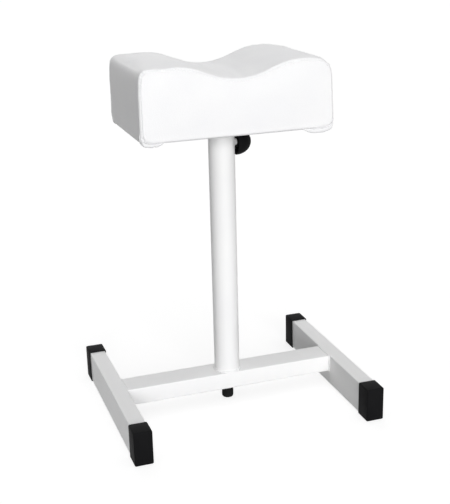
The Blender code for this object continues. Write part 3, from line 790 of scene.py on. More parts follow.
def grid_of_outline(shares, r, across, up):
    """Places over an outline, and which way is inward."""
    outer, inner = cushion_outline(shares, r)
    places = patch(outer, across / across[-1], up / up[-1])
    further_in = patch(inner, across / across[-1], up / up[-1])
    return np.stack([places, (further_in - places) / INWARD_STEP])


# Cushion: its closed block, on a grid that is fine along the seams
def edge_rounding(place, half):
    """Radius of a seam's or fold's rounding, and the angle of it that the panel takes."""
    low = smooth_share(1 - place[1] / CORNER_RISE)
    near = smooth_share(1 - (half - abs(place[0])) / CORNER_REACH)
    radius = (SEAM_ROUNDING + (FOLD_ROUNDING - SEAM_ROUNDING) * low
              + (CORNER_ROUNDING - FOLD_ROUNDING) * low * near)
    return radius, SEAM_TURN + (math.pi / 4 - SEAM_TURN) * low


def rounded_edge(away, radius, turn):
    """How far a face bends off its plane, and is drawn in along it, near a rounded edge."""
    bend = radius * (1 - math.cos(max(0.0, turn - away / radius)))
    return bend, radius * (1 - math.sin(turn)) * max(0.0, 1 - away / (3 * radius))


def block_grid():
    """The places along its three directions, and its outlines at and between the seams."""
    outer = cushion_outline(SEAM_OUTLINE, LOWER_CORNER)[0]
    across = stations((length_of(outer["top"]) + length_of(outer["bottom"])) / 2)
    up = stations((length_of(outer["left"]) + length_of(outer["right"])) / 2)
    deep = stations(2 * CUSHION_HALF_DEPTH)
    at_seam = grid_of_outline(SEAM_OUTLINE, LOWER_CORNER, across, up)
    between_seams = grid_of_outline(FULL_OUTLINE, FOLD_ROUNDING, across, up)
    return across, up, deep, at_seam, between_seams


def block_point(grid, low, half, i, j, k):
    """A point on the block's skin: its place, how far a seam is, how far it lies along the seams,
    how much it belongs to the wrap, and whether it is held. A point inside the block is none."""
    across, up, deep, at_seam, between_seams = grid
    rim = i in (0, len(across) - 1) or j in (0, len(up) - 1)
    end = k in (0, len(deep) - 1)
    if not (rim or end):
        return None
    from_end = min(deep[k], deep[-1] - deep[k])
    fade = smooth_share(from_end / FULL_FROM)
    place, inward = at_seam[:, i, j] + (between_seams[:, i, j] - at_seam[:, i, j]) * fade
    radius, turn = edge_rounding(place, half)
    sides = (across[i], across[-1] - across[i], up[-1] - up[j])
    if end:
        seam = min(sides)
        bend, shift = rounded_edge(min(*sides, up[j]), radius, turn)
        place = place + inward * shift
        y = (CUSHION_HALF_DEPTH - bend) * (-1 if k == 0 else 1)
    else:
        seam = from_end if j > 0 else FAR_FROM_SEAM
        bend, shift = rounded_edge(from_end, radius, math.pi / 2 - turn)
        place = place + inward * bend
        y = deep[k] - CUSHION_HALF_DEPTH
        y += shift * (1 if y < 0 else -1)
    turned_by = 2 * smooth_share(across[i] / across[-1]) - 1
    run = up[-1] + across[i] + (up[-1] - up[j]) * turned_by if j > 0 else 0.0
    wrap = 0.5 if rim and end else 1.0 if rim else 0.0
    held = j == 0 or (rim and end) or place[1] < HELD_HEIGHT
    return (place[0], y, low + place[1]), seam, run, wrap, held


def block_faces(index, across, deep, nw):
    """The block's six sides as squares, each with the panel that it belongs to."""
    nu, ny = len(across) - 1, len(deep) - 1

    def lip(a, b):
        x = (across[a] + across[a + 1]) / 2
        y = (deep[b] + deep[b + 1]) / 2
        ends = (min(x, across[-1] - x), y, deep[-1] - y)
        return OPEN if min(ends) > LIP_LENGTH else ends.index(min(ends))

    sides = (
        (nu, nw, lambda a, b: (a, b, 0), lambda a, b: FRONT),
        (nu, nw, lambda a, b: (a, b, ny), lambda a, b: REAR),
        (nw, ny, lambda a, b: (0, a, b), lambda a, b: WRAP),
        (nw, ny, lambda a, b: (nu, a, b), lambda a, b: WRAP),
        (nu, ny, lambda a, b: (a, nw, b), lambda a, b: WRAP),
        (nu, ny, lambda a, b: (a, 0, b), lip),
    )
    quads, panels = [], []
    for count_a, count_b, corner, panel in sides:
        for a in range(count_a):
            for b in range(count_b):
                square = ((a, b), (a + 1, b), (a + 1, b + 1), (a, b + 1))
                quads.append([index[corner(*c)] for c in square])
                panels.append(panel(a, b))
    return quads, panels


def make_block():
    """The closed block of the cushion, with what the sewing needs to know at each point."""
    grid = block_grid()
    across, up, deep = grid[:3]
    low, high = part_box("cover_wrap")
    index, rows = {}, []
    for i in range(len(across)):
        for j in range(len(up)):
            for k in range(len(deep)):
                row = block_point(grid, low.z, high.x, i, j, k)
                if row:
                    index[i, j, k] = len(rows)
                    rows.append(row)
    points, seams, runs, wraps, held = zip(*rows)
    quads, panels = block_faces(index, across, deep, len(up) - 1)
    mesh = bpy.data.meshes.new("cushion_block")
    mesh.from_pydata(points, [], quads)
    for _ in (WRAP, FRONT, REAR, OPEN):
        mesh.materials.append(FINISHES["white_vinyl"])
    mesh.polygons.foreach_set("material_index", panels)
    for name, values in (("seam_distance", seams), ("seam_run", runs), ("wrap_side", wraps)):
        mesh.attributes.new(name, "FLOAT", "POINT").data.foreach_set("value", values)
    block = put_in_scene("cushion_block", mesh)
    group = block.vertex_groups.new(name="held")
    group.add([i for i, value in enumerate(held) if value], 1.0, "REPLACE")
    select_whole(block)
    bpy.ops.mesh.normals_make_consistent(inside=False)
    leave_edit()
    return block


# Cushion: its swell, seams and panels
def coordinates(mesh):
    values = np.zeros(len(mesh.vertices) * 3)
    mesh.vertices.foreach_get("co", values)
    return values.reshape(-1, 3)


def set_coordinates(mesh, places):
    mesh.vertices.foreach_set("co", places.ravel())
    mesh.update()


def normals(mesh):
    values = np.zeros(len(mesh.vertices) * 3, np.float32)
    mesh.vertex_normals.foreach_get("vector", values)
    return values.reshape(-1, 3).astype(float)


def attribute(mesh, name):
    values = np.zeros(len(mesh.vertices), np.float32)
    mesh.attributes[name].data.foreach_get("value", values)
    return values.astype(float)


def swell(block):
    """Lets the foam push the vinyl out between its held seams, then caps how far it went."""
    rest = coordinates(block.data)
    sideways = abs(normals(block.data)[:, 0])
    cloth = block.modifiers.new("swell", "CLOTH")
    for name, value in SWELL_FABRIC.items():
        setattr(cloth.settings, name, value)
    cloth.settings.effector_weights.gravity = 0
    cloth.collision_settings.use_collision = False
    cloth.point_cache.frame_start = 1
    cloth.point_cache.frame_end = SWELL_FRAMES
    only(block)
    for step in range(1, SWELL_FRAMES + 1):
        bpy.context.scene.frame_set(step)
    bpy.ops.object.modifier_apply(modifier="swell")
    bpy.context.scene.frame_set(1)
    moved = coordinates(block.data) - rest
    moved *= 1 - SIDE_HOLD * smooth_share((sideways - SIDE_FROM) / SIDE_OVER)[:, None]
    far = np.maximum(np.linalg.norm(moved, axis=1), 1e-9)[:, None]
    set_coordinates(block.data, rest + moved / far * SWELL_CAP * np.tanh(far / SWELL_CAP))


def refine(block):
    finer = block.modifiers.new("finer", "SUBSURF")
    finer.levels = 1
    finer.render_levels = 1
    apply_modifier(block, "finer")


def noise_of(places):
    return np.array([noise.noise(Vector(place)) for place in places])


def fading(distance, reach):
    """1 at no distance, and next to nothing beyond twice the reach."""
    return np.exp(-(distance / reach) ** 2)


def turned_edge(away, height, place, width):
    """The ridge that the vinyl's turned edge makes beside a seam."""
    return height * fading(away - place, width)


def corner_gathers(places, low, high):
    """Small folds that fan out from the four lower corners."""
    gather = np.zeros(len(places))
    for sx in (-1, 1):
        for sy in (-1, 1):
            arm = places - np.array((sx * high.x, sy * CUSHION_HALF_DEPTH, low.z))
            reach = np.linalg.norm(arm, axis=1)
            turn = np.arctan2(arm[:, 2], np.hypot(arm[:, 0], arm[:, 1]))
            own = reach * 0 + sx * 5 + sy * 9
            folds = noise_of(np.stack([turn * GATHER_FAN, reach * GATHER_BEND, own], axis=1))
            starts = smooth_share(reach / GATHER_START)
            gather += GATHER_HEIGHT * folds * fading(reach, GATHER_REACH) * starts
    return gather


def sew(block):
    """Pulls the seams in, raises the turned edge beside them and puckers the vinyl."""
    mesh = block.data
    places, out = coordinates(mesh), normals(mesh)
    away = attribute(mesh, "seam_distance")
    run = attribute(mesh, "seam_run")
    on_wrap = attribute(mesh, "wrap_side") > 0.5
    low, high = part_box("cover_wrap")
    height = places[:, 2] - low.z
    groove = -SEAM_GROOVE * fading(away, GROOVE_REACH)
    along = np.stack([run / PUCKER_LENGTH, np.sign(places[:, 1]) * SEAMS_APART, run * 0], axis=1)
    fullness = 1.0 + EDGE_UNEVEN * noise_of(along * (EDGE_STRETCH, 1, 1))
    ridge = np.where(on_wrap, turned_edge(away, *WRAP_EDGE), turned_edge(away, *PANEL_EDGE))
    ridge *= fullness
    pucker = sum(size * noise_of(along * closer) * fading(away, reach)
                 for size, closer, reach in PUCKERS)
    pucker *= smooth_share(away / PUCKER_START)
    slow = sum(noise_of(places / length) * size for size, length in WAVES)
    slow *= smooth_share((away - WAVE_START) / WAVE_OVER) * smooth_share(height / WAVE_RISE)
    above_fold = smooth_share((height + FOLD_START) / FOLD_OVER)
    not_under = smooth_share((out[:, 2] + UNDERSIDE) / UNDERSIDE_OVER)
    lift = (groove + ridge + pucker + slow) * above_fold
    lift += corner_gathers(places, low, high) * not_under
    set_coordinates(mesh, places + out * lift[:, None])


def make_panel(block, kind, name, node):
    """One panel of the cover: its part of the block's surface, with the vinyl's thickness."""
    panel = copied(block, name)
    panel.vertex_groups.clear()
    edit(panel)
    bm = bmesh.from_edit_mesh(panel.data)
    for face in bm.faces:
        face.select_set(face.material_index != kind)
    bmesh.update_edit_mesh(panel.data)
    bpy.ops.mesh.delete(type="FACE")
    leave_edit()
    give_wall(panel, VINYL_THICKNESS)
    hand_over(panel, "seat", "white_vinyl", node, smooth=55)


def make_foam(block):
    """The foam block inside the vinyl, cut flat where it lies on the board."""
    foam = copied(block, "foam_block")
    foam.vertex_groups.clear()
    remesh = foam.modifiers.new("voxels", "REMESH")
    remesh.mode = "VOXEL"
    remesh.voxel_size = FOAM_VOXEL
    apply_modifier(foam, "voxels")
    mesh = foam.data
    set_coordinates(mesh, coordinates(mesh) - normals(mesh) * (VINYL_THICKNESS + FOAM_CLEARANCE))
    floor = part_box("foam_core")[0].z
    select_whole(foam)
    bpy.ops.mesh.bisect(plane_co=(0, 0, floor), plane_no=(0, 0, 1), use_fill=True, clear_inner=True)
    leave_edit()
    hand_over(foam, "seat", "foam", "foam_core", smooth=40)


# Cushion: its corner tucks
def tuck_line(points, length, drop, out):
    """A tuck's edge, stretched to its own length, drop and overhang, in metres."""
    line = smooth_line([np.array(point) / 1000 for point in points], 9)
    past = np.maximum(line[:, 0] - TUCK_ARM, 0)
    line[:, 0] += past * ((length - TUCK_ARM) / (TUCK_DRAWN_LENGTH - TUCK_ARM) - 1)
    line[:, 1] = np.where(line[:, 1] < 0, line[:, 1] * drop / TUCK_DRAWN_DROP, line[:, 1])
    line[:, 0] -= out * smooth_share(1 - line[:, 0] / TUCK_OUT_REACH)
    return line


def closed_rings(name, rings):
    """A closed mesh drawn over rings of places, with a pole at each end."""
    bm = bmesh.new()
    rings = [[bm.verts.new(place) for place in ring] for ring in rings]
    count = len(rings[0])
    for a, b in zip(rings, rings[1:]):
        for k in range(count):
            after = (k + 1) % count
            bm.faces.new((a[k], a[after], b[after], b[k]))
    for ring in (rings[0], rings[-1]):
        pole = bm.verts.new(sum((v.co for v in ring), Vector()) / count)
        for k in range(count):
            bm.faces.new((ring[k], ring[(k + 1) % count], pole))
    bmesh.ops.recalc_face_normals(bm, faces=bm.faces)
    mesh = bpy.data.meshes.new(name)
    bm.to_mesh(mesh)
    bm.free()
    return put_in_scene(name, mesh)


def share_after(t, start):
    """0 up to the start, then smoothly to 1 at the end."""
    return smooth_share((t - start) / (1 - start))


def make_corner_tuck(name, end, side, length, drop, depth, pleat, out):
    """The fold of vinyl that goes round a lower corner and thins out along the edge."""
    low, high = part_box("cover_wrap")
    outer, inner = (tuck_line(points, length, drop, out) for points in (TUCK_OUTER, TUCK_INNER))
    rings = []
    for i, (rim, root) in enumerate(zip(outer, inner)):
        t = i / (len(outer) - 1)
        cut = math.exp(-((rim[0] - pleat) / PLEAT_WIDTH) ** 2) if rim[1] < 0 else 0.0
        rim = root + (rim - root) * (1 - PLEAT_DEPTH * cut)
        full = smooth_share(t / TUCK_STARTS) * (1 - TUCK_END_LOSS * share_after(t, TUCK_ENDS))
        half_depth = depth / 2 * (TUCK_LEAST_DEPTH + (1 - TUCK_LEAST_DEPTH) * full)
        sunk = TUCK_TAIL_SINK * share_after(t, TUCK_TAIL)
        ring = []
        for k in range(TUCK_SIDES):
            angle = math.tau * k / TUCK_SIDES
            c, s = math.cos(angle), math.sin(angle)
            uneven = noise.noise((t * 11, c * 2.2, side * 3 + end))
            crease = 1 + TUCK_CREASE * uneven * full * (s > 0)
            hang = (1 + math.copysign(abs(s) ** TUCK_SQUARENESS, s) * crease) / 2
            hang *= (1 - TUCK_TAPER * smooth_share((1 - c) / 2)) / TUCK_FULLEST
            x, z = root + (rim - root) * hang
            beside = 1 - min(max(x, 0.0) / TUCK_CORNER, 1.0)
            corner = TUCK_CORNER * (1 - math.sqrt(1 - beside ** 2))
            front = CUSHION_HALF_DEPTH + TUCK_PROUD - corner - sunk
            back = math.copysign(abs(c) ** TUCK_DEPTH_SQUARENESS, c)
            y = front - half_depth + half_depth * back
            ring.append((side * (high.x - x), end * y, low.z + z))
        rings.append(ring)
    hand_over(closed_rings(name, rings), "seat", "white_vinyl", smooth=60)


# Liner and staples under the cushion
LINER_MARGIN = 0.012         # from the cushion's edge to the liner's
LINER_THICKNESS = 0.0005
LINER_GAP = 0.0001           # between the vinyl and the liner
LINER_CELLS = (90, 54)
LINER_RIM = 0.006            # width of the liner's part that lies on the vinyl
LINER_SLOPE = 0.008          # over which it goes up to the board
LINER_RISE = 0.0005          # how far up that is
LINER_WAVE_LENGTH = 0.018
LINER_WAVE = 0.00012
STAPLE_CROWN = 0.010
STAPLE_WIRE = 0.0007
STAPLE_CROWN_WIDTH = 1.5     # the flattened wire's width, as a share of its thickness
STAPLE_LEG_WIDTH = 1.4
STAPLE_EDGE = 0.35           # rounding of the crown, the same way
STAPLE_LEG = 0.004
STAPLE_SPACING = 0.042
STAPLE_INSET = 0.004


def liner_size():
    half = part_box("cover_wrap")[1].x
    return 2 * (half - LINER_MARGIN), 2 * (CUSHION_HALF_DEPTH - LINER_MARGIN)


def make_liner():
    """Non-woven cloth stapled over the board and over the vinyl's turned-in lips."""
    width, depth = liner_size()
    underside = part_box("cover_wrap")[0].z
    bpy.ops.object.select_all(action="DESELECT")
    across, along = LINER_CELLS
    bpy.ops.mesh.primitive_grid_add(x_subdivisions=across, y_subdivisions=along, size=1.0)
    liner = named(bpy.context.object, "dust_liner")
    liner.scale = (width, depth, 1.0)
    settle(liner)
    places = coordinates(liner.data)
    edge = np.minimum(width / 2 - abs(places[:, 0]), depth / 2 - abs(places[:, 1]))
    inside = smooth_share((edge - LINER_RIM) / LINER_SLOPE)
    waves = noise_of(places / LINER_WAVE_LENGTH) * LINER_WAVE
    places[:, 2] = underside - LINER_GAP + inside * LINER_RISE + waves * (1 - inside)
    set_coordinates(liner.data, places)
    give_wall(liner, LINER_THICKNESS)
    hand_over(liner, "seat", "black_liner", "under_liner", smooth=50)


def make_staple():
    """One staple with its crown's top at the origin's height and its legs upwards."""
    crown, wire = STAPLE_CROWN / 2, STAPLE_WIRE / 2
    width = wire * STAPLE_CROWN_WIDTH
    parts = [cube("staple", (-crown, -width, -STAPLE_WIRE), (crown, width, 0))]
    width = wire * STAPLE_LEG_WIDTH
    for sign in (-1, 1):
        foot = sorted((sign * crown, sign * (crown - STAPLE_WIRE)))
        parts.append(cube("leg", (foot[0], -width, -wire), (foot[1], width, STAPLE_LEG)))
    staple = joined(parts, "staple")
    edit(staple)
    choose(staple, "EDGE", lambda c, d: c.z < -STAPLE_WIRE + TINY)
    round_edges(STAPLE_WIRE * STAPLE_EDGE, steps=2)
    leave_edit()
    return staple


def make_staples():
    """Staples along the liner's four edges."""
    width, depth = liner_size()
    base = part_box("cover_wrap")[0].z - LINER_GAP - LINER_THICKNESS
    staple = make_staple()
    spots = []
    for half, other, turn in ((width / 2, depth / 2, 0.0), (depth / 2, width / 2, math.pi / 2)):
        count = round(2 * half / STAPLE_SPACING)
        for i in range(count):
            run = -half + (i + 0.5) * 2 * half / count
            for sign in (-1, 1):
                spot = Vector((run, sign * (other - STAPLE_INSET), base))
                spots.append(Matrix.Rotation(turn, 4, "Z") @ Matrix.Translation(spot))
    copies = [copied(staple, f"staple_{i}", spot) for i, spot in enumerate(spots)]
    bpy.data.objects.remove(staple, do_unlink=True)
    hand_over(joined(copies, "liner_staples"), "seat", "zinc_steel", smooth=40)


def make_cushion():
    block = make_block()
    swell(block)
    refine(block)
    make_foam(block)
    sew(block)
    make_panel(block, WRAP, "wrap_panel", "cover_wrap")
    make_panel(block, FRONT, "front_panel", "cover_front")
    make_panel(block, REAR, "rear_panel", "cover_rear")
    bpy.data.objects.remove(block, do_unlink=True)
    for name, *shape in CORNER_TUCKS:
        make_corner_tuck(f"corner_tuck_{name}", *shape)
    make_liner()
    make_staples()


# Tools for finishes
def new_group(name, inputs, outputs):
    """A node group with number inputs and outputs, and its two end nodes."""
    group = bpy.data.node_groups.new(name, "ShaderNodeTree")
    for label, value in inputs:
        socket = group.interface.new_socket(name=label, in_out="INPUT", socket_type="NodeSocketFloat")
        socket.default_value = value
    for label in outputs:
        group.interface.new_socket(name=label, in_out="OUTPUT", socket_type="NodeSocketFloat")
    return group, group.nodes.new("NodeGroupInput"), group.nodes.new("NodeGroupOutput")


def add_node(tree, kind, settings=(), values=()):
    node = tree.nodes.new(kind)
    for name, value in dict(settings).items():
        setattr(node, name, value)
    for name, value in dict(values).items():
        node.inputs[name].default_value = value
    return node


def maths(tree, operation, a, b=None):
    """A Math node; a and b are numbers or sockets."""
    node = add_node(tree, "ShaderNodeMath", {"operation": operation})
    for socket, value in zip(node.inputs, (a, b)):
        if value is None:
            continue
        if isinstance(value, (int, float)):
            socket.default_value = value
        else:
            tree.links.new(value, socket)
    return node.outputs[0]


def between(tree, value, low, high, from_low=0.0, from_high=1.0, smooth=False):
    """Maps a changing value onto the range from low to high."""
    node = add_node(tree, "ShaderNodeMapRange", {"clamp": True},
                    {"From Min": from_low, "From Max": from_high, "To Min": low, "To Max": high})
    if smooth:
        node.interpolation_type = "SMOOTHSTEP"
    tree.links.new(value, node.inputs["Value"])
    return node.outputs["Result"]


def place_vector(tree, stretch=(1, 1, 1)):
    """The piece's own coordinates, stretched."""
    source = add_node(tree, "ShaderNodeTexCoord")
    mapping = add_node(tree, "ShaderNodeMapping", values={"Scale": stretch})
    tree.links.new(source.outputs["Object"], mapping.inputs["Vector"])
    return mapping.outputs["Vector"]


def noise_height(tree, vector, scale, detail):
    """Noise whose scale comes from a socket."""
    node = add_node(tree, "ShaderNodeTexNoise", values={"Detail": detail})
    tree.links.new(scale, node.inputs["Scale"])
    tree.links.new(vector, node.inputs["Vector"])
    return node.outputs["Fac"]


def slow_change_group():
    """Broad, faint unevenness of a finish."""
    group, start, end = new_group("slow_change", [("Scale", 14.0)], ["Share"])
    value = noise_height(group, place_vector(group), start.outputs["Scale"], 3.0)
    group.links.new(between(group, value, 0.0, 1.0, 0.36, 0.64), end.inputs["Share"])
    return group


def pebble_grain_group():
    """Rounded pebbles of pressed vinyl or moulded plastic, with the valleys between them."""
    group, start, end = new_group("pebble_grain", [("Scale", 850.0)], ["Height", "Valley"])
    vector = place_vector(group)
    warp = add_node(group, "ShaderNodeTexNoise", values={"Scale": 300.0, "Detail": 1.0})
    group.links.new(vector, warp.inputs["Vector"])
    push = add_node(group, "ShaderNodeVectorMath", {"operation": "MULTIPLY_ADD"})
    push.inputs[1].default_value = (0.0012, 0.0012, 0.0012)
    group.links.new(warp.outputs["Color"], push.inputs[0])
    group.links.new(vector, push.inputs[2])
    cells = add_node(group, "ShaderNodeTexVoronoi", {"feature": "SMOOTH_F1"}, {"Smoothness": 0.6})
    group.links.new(push.outputs["Vector"], cells.inputs["Vector"])
    group.links.new(start.outputs["Scale"], cells.inputs["Scale"])
    valley = between(group, cells.outputs["Distance"], 0.0, 1.0, 0.15, 0.70, smooth=True)
    group.links.new(maths(group, "SUBTRACT", 1.0, valley), end.inputs["Height"])
    group.links.new(valley, end.inputs["Valley"])
    return group


def skin_ripple_group():
    """The soft ripple of sprayed and baked paint."""
    group, start, end = new_group("skin_ripple", [("Scale", 600.0)], ["Height"])
    value = noise_height(group, place_vector(group), start.outputs["Scale"], 1.5)
    group.links.new(value, end.inputs["Height"])
    return group


def drawn_lines_group():
    """Fine lines left along a piece by drawing, turning or sawing."""
    group, start, end = new_group("drawn_lines", [("Scale", 700.0), ("Along X", 1.0),
                                                  ("Along Y", 1.0), ("Along Z", 0.02)], ["Height"])
    source = add_node(group, "ShaderNodeTexCoord")
    stretch = add_node(group, "ShaderNodeCombineXYZ")
    for axis in "XYZ":
        group.links.new(start.outputs[f"Along {axis}"], stretch.inputs[axis])
    scaled = add_node(group, "ShaderNodeVectorMath", {"operation": "MULTIPLY"})
    group.links.new(source.outputs["Object"], scaled.inputs[0])
    group.links.new(stretch.outputs["Vector"], scaled.inputs[1])
    value = noise_height(group, scaled.outputs["Vector"], start.outputs["Scale"], 3.0)
    group.links.new(value, end.inputs["Height"])
    return group


def stitch_pull_group():
    """What sewing does to vinyl: a dimple at each stitch, and a mask along the seam's crease where
    shade is painted.
    """
    group, start, end = new_group("stitch_pull", [("Stitch", 0.0040)], ["Height", "Crease Shade"])
    away = add_node(group, "ShaderNodeAttribute", {"attribute_name": "seam_distance"}).outputs["Fac"]
    run = add_node(group, "ShaderNodeAttribute", {"attribute_name": "seam_run"}).outputs["Fac"]
    turns = maths(group, "DIVIDE", run, start.outputs["Stitch"])
    wave = maths(group, "COSINE", maths(group, "MULTIPLY", turns, math.tau))
    reach = between(group, away, 1.0, 0.0, 0.0010, 0.0042, smooth=True)
    # crease marks the band along the seam where the vinyl's colour gets painted shade
    crease = between(group, away, 1.0, 0.0, 0.0002, 0.0011, smooth=True)
    group.links.new(maths(group, "MULTIPLY", wave, reach), end.inputs["Height"])
    group.links.new(crease, end.inputs["Crease Shade"])
    return group


def fabric_bond_group():
    """Non-woven cloth: tangled fibres pressed together at rows of small dots."""
    group, start, end = new_group("fabric_bond", [("Dots", 420.0), ("Fibres", 2600.0)],
                                  ["Height", "Dot"])
    dots = add_node(group, "ShaderNodeTexVoronoi", values={"Randomness": 0.05})
    group.links.new(place_vector(group), dots.inputs["Vector"])
    group.links.new(start.outputs["Dots"], dots.inputs["Scale"])
    dot = between(group, dots.outputs["Distance"], 1.0, 0.0, 0.22, 0.34, smooth=True)
    stretched = place_vector(group, (1.0, 0.35, 1.0))
    fibres = noise_height(group, stretched, start.outputs["Fibres"], 4.0)
    group.links.new(maths(group, "SUBTRACT", fibres, dot), end.inputs["Height"])
    group.links.new(dot, end.inputs["Dot"])
    return group


def new_material(name, roughness, metallic=0.0, specular=0.5):
    """A material and its node tree; the constants are set on the shader's own sockets."""
    material = bpy.data.materials.new(name)
    material.use_nodes = True
    shader = material.node_tree.nodes["Principled BSDF"]
    shader.inputs["Roughness"].default_value = roughness
    shader.inputs["Metallic"].default_value = metallic
    shader.inputs["Specular IOR Level"].default_value = specular
    return material, material.node_tree


def connect(material, colour, normal, roughness=None):
    """Feeds what changes over the surface into the material's shader."""
    shader = material.node_tree.nodes["Principled BSDF"]
    material.node_tree.links.new(colour, shader.inputs["Base Color"])
    material.node_tree.links.new(normal, shader.inputs["Normal"])
    if roughness is not None:
        material.node_tree.links.new(roughness, shader.inputs["Roughness"])
    return material


def use_group(tree, group, **values):
    node = add_node(tree, "ShaderNodeGroup", {"node_tree": group})
    for name, value in values.items():
        node.inputs[name.replace("_", " ")].default_value = value
    return node


def mixed_colour(tree, share, first, second):
    """A colour that goes from the first to the second as the share does."""
    node = add_node(tree, "ShaderNodeMix", {"data_type": "RGBA"})
    for socket, value in ((node.inputs[6], first), (node.inputs[7], second)):
        if isinstance(value, tuple):
            socket.default_value = (*value, 1.0)
        else:
            tree.links.new(value, socket)
    tree.links.new(share, node.inputs[0])
    return node.outputs[2]


def add_bump(tree, height, distance, strength, under=None):
    node = add_node(tree, "ShaderNodeBump", values={"Distance": distance, "Strength": strength})
    tree.links.new(height, node.inputs["Height"])
    if under is not None:
        tree.links.new(under, node.inputs["Normal"])
    return node.outputs["Normal"]


# Finishes
def powder_coat():
    material, tree = new_material("white_powder_coat", 0.34, specular=0.45)
    slow = use_group(tree, SLOW_CHANGE, Scale=9.0).outputs["Share"]
    ripple = use_group(tree, SKIN_RIPPLE, Scale=520.0).outputs["Height"]
    colour = mixed_colour(tree, slow, (0.850, 0.850, 0.855), (0.872, 0.872, 0.870))
    normal = add_bump(tree, ripple, distance=0.00006, strength=0.5)
    return connect(material, colour, normal, between(tree, slow, 0.30, 0.38))


def white_vinyl():
    material, tree = new_material("white_vinyl", 0.44, specular=0.38)
    slow = use_group(tree, SLOW_CHANGE, Scale=13.0).outputs["Share"]
    grain = use_group(tree, PEBBLE_GRAIN, Scale=760.0)
    sewn = use_group(tree, STITCH_PULL, Stitch=0.0042)
    # valley sets painted shade: the colour goes darker, towards 0.74, in the grain's valleys
    valley = between(tree, grain.outputs["Valley"], 0.0, 0.10)
    # crease sets painted shade: the colour goes darker, towards 0.60, along the seam's crease
    crease = between(tree, sewn.outputs["Crease Shade"], 0.0, 0.30)
    colour = mixed_colour(tree, slow, (0.838, 0.838, 0.850), (0.860, 0.860, 0.864))
    colour = mixed_colour(tree, valley, colour, (0.74, 0.74, 0.75))
    colour = mixed_colour(tree, crease, colour, (0.60, 0.60, 0.61))
    normal = add_bump(tree, sewn.outputs["Height"], distance=0.00016, strength=0.8)
    normal = add_bump(tree, grain.outputs["Height"], distance=0.00009, strength=0.6, under=normal)
    return connect(material, colour, normal, between(tree, grain.outputs["Valley"], 0.40, 0.52))


def moulded_black():
    material, tree = new_material("black_plastic", 0.66, specular=0.05)
    slow = use_group(tree, SLOW_CHANGE, Scale=26.0).outputs["Share"]
    grain = use_group(tree, PEBBLE_GRAIN, Scale=1900.0)
    colour = mixed_colour(tree, slow, (0.0048, 0.0048, 0.0054), (0.0072, 0.0072, 0.0078))
    normal = add_bump(tree, grain.outputs["Height"], distance=0.00004, strength=0.5)
    return connect(material, colour, normal, between(tree, slow, 0.60, 0.72))


def black_rubber():
    material, tree = new_material("black_rubber", 0.80, specular=0.06)
    slow = use_group(tree, SLOW_CHANGE, Scale=60.0).outputs["Share"]
    ripple = use_group(tree, SKIN_RIPPLE, Scale=1500.0).outputs["Height"]
    colour = mixed_colour(tree, slow, (0.008, 0.008, 0.008), (0.014, 0.014, 0.014))
    normal = add_bump(tree, ripple, distance=0.00005, strength=0.6)
    return connect(material, colour, normal, between(tree, slow, 0.72, 0.86))


def zinc_plate():
    material, tree = new_material("zinc_steel", 0.32, metallic=1.0)
    slow = use_group(tree, SLOW_CHANGE, Scale=180.0).outputs["Share"]
    lines = use_group(tree, DRAWN_LINES, Scale=1600.0, Along_Z=0.12).outputs["Height"]
    colour = mixed_colour(tree, slow, (0.57, 0.58, 0.60), (0.65, 0.66, 0.66))
    normal = add_bump(tree, lines, distance=0.00003, strength=0.4)
    return connect(material, colour, normal, between(tree, lines, 0.24, 0.42))


def polished_chrome():
    material, tree = new_material("chrome_tube", 0.09, metallic=1.0)
    slow = use_group(tree, SLOW_CHANGE, Scale=40.0).outputs["Share"]
    lines = use_group(tree, DRAWN_LINES, Scale=2200.0, Along_Z=0.01).outputs["Height"]
    colour = mixed_colour(tree, slow, (0.73, 0.74, 0.765), (0.77, 0.78, 0.795))
    normal = add_bump(tree, lines, distance=0.00001, strength=0.15)
    return connect(material, colour, normal, between(tree, lines, 0.05, 0.15, 0.35, 0.65))


def turned_nylon():
    material, tree = new_material("black_nylon", 0.48, specular=0.3)
    rings = use_group(tree, DRAWN_LINES, Scale=1500.0, Along_X=0.03, Along_Y=0.03, Along_Z=1.0)
    lines = rings.outputs["Height"]
    slow = use_group(tree, SLOW_CHANGE, Scale=50.0).outputs["Share"]
    colour = mixed_colour(tree, slow, (0.020, 0.020, 0.022), (0.028, 0.028, 0.030))
    normal = add_bump(tree, lines, distance=0.00003, strength=0.4)
    return connect(material, colour, normal, between(tree, lines, 0.40, 0.56))


def birch_plywood():
    """Plies that show as bands on the edges, and long grain on the faces."""
    material, tree = new_material("plywood", 0.68, specular=0.25)
    band = add_node(tree, "ShaderNodeTexWave", {"bands_direction": "Z"},
                    {"Scale": 105.0, "Distortion": 0.4, "Detail": 1.0})
    tree.links.new(place_vector(tree), band.inputs["Vector"])
    lines = use_group(tree, DRAWN_LINES, Scale=900.0, Along_X=0.03, Along_Z=1.0).outputs["Height"]
    grain = between(tree, lines, 0.0, 1.0, 0.35, 0.65)
    ply = between(tree, band.outputs["Fac"], 0.0, 0.45)
    colour = mixed_colour(tree, grain, (0.66, 0.50, 0.31), (0.56, 0.40, 0.23))
    colour = mixed_colour(tree, ply, colour, (0.40, 0.26, 0.14))
    normal = add_bump(tree, lines, distance=0.00012, strength=0.5)
    return connect(material, colour, normal, between(tree, lines, 0.62, 0.76))


def open_foam():
    material, tree = new_material("foam", 0.95, specular=0.05)
    cells = use_group(tree, PEBBLE_GRAIN, Scale=1100.0)
    # The cells' valleys are painted darker: painted shade in the foam's hollows.
    colour = mixed_colour(tree, cells.outputs["Valley"], (0.82, 0.74, 0.47), (0.66, 0.57, 0.32))
    return connect(material, colour, add_bump(tree, cells.outputs["Height"], 0.0004, 0.8))


def bonded_liner():
    material, tree = new_material("black_liner", 0.92, specular=0.1)
    cloth = use_group(tree, FABRIC_BOND)
    dot = cloth.outputs["Dot"]
    colour = mixed_colour(tree, dot, (0.034, 0.034, 0.035), (0.018, 0.018, 0.019))
    normal = add_bump(tree, cloth.outputs["Height"], distance=0.0001, strength=0.7)
    return connect(material, colour, normal, between(tree, dot, 0.94, 0.70))


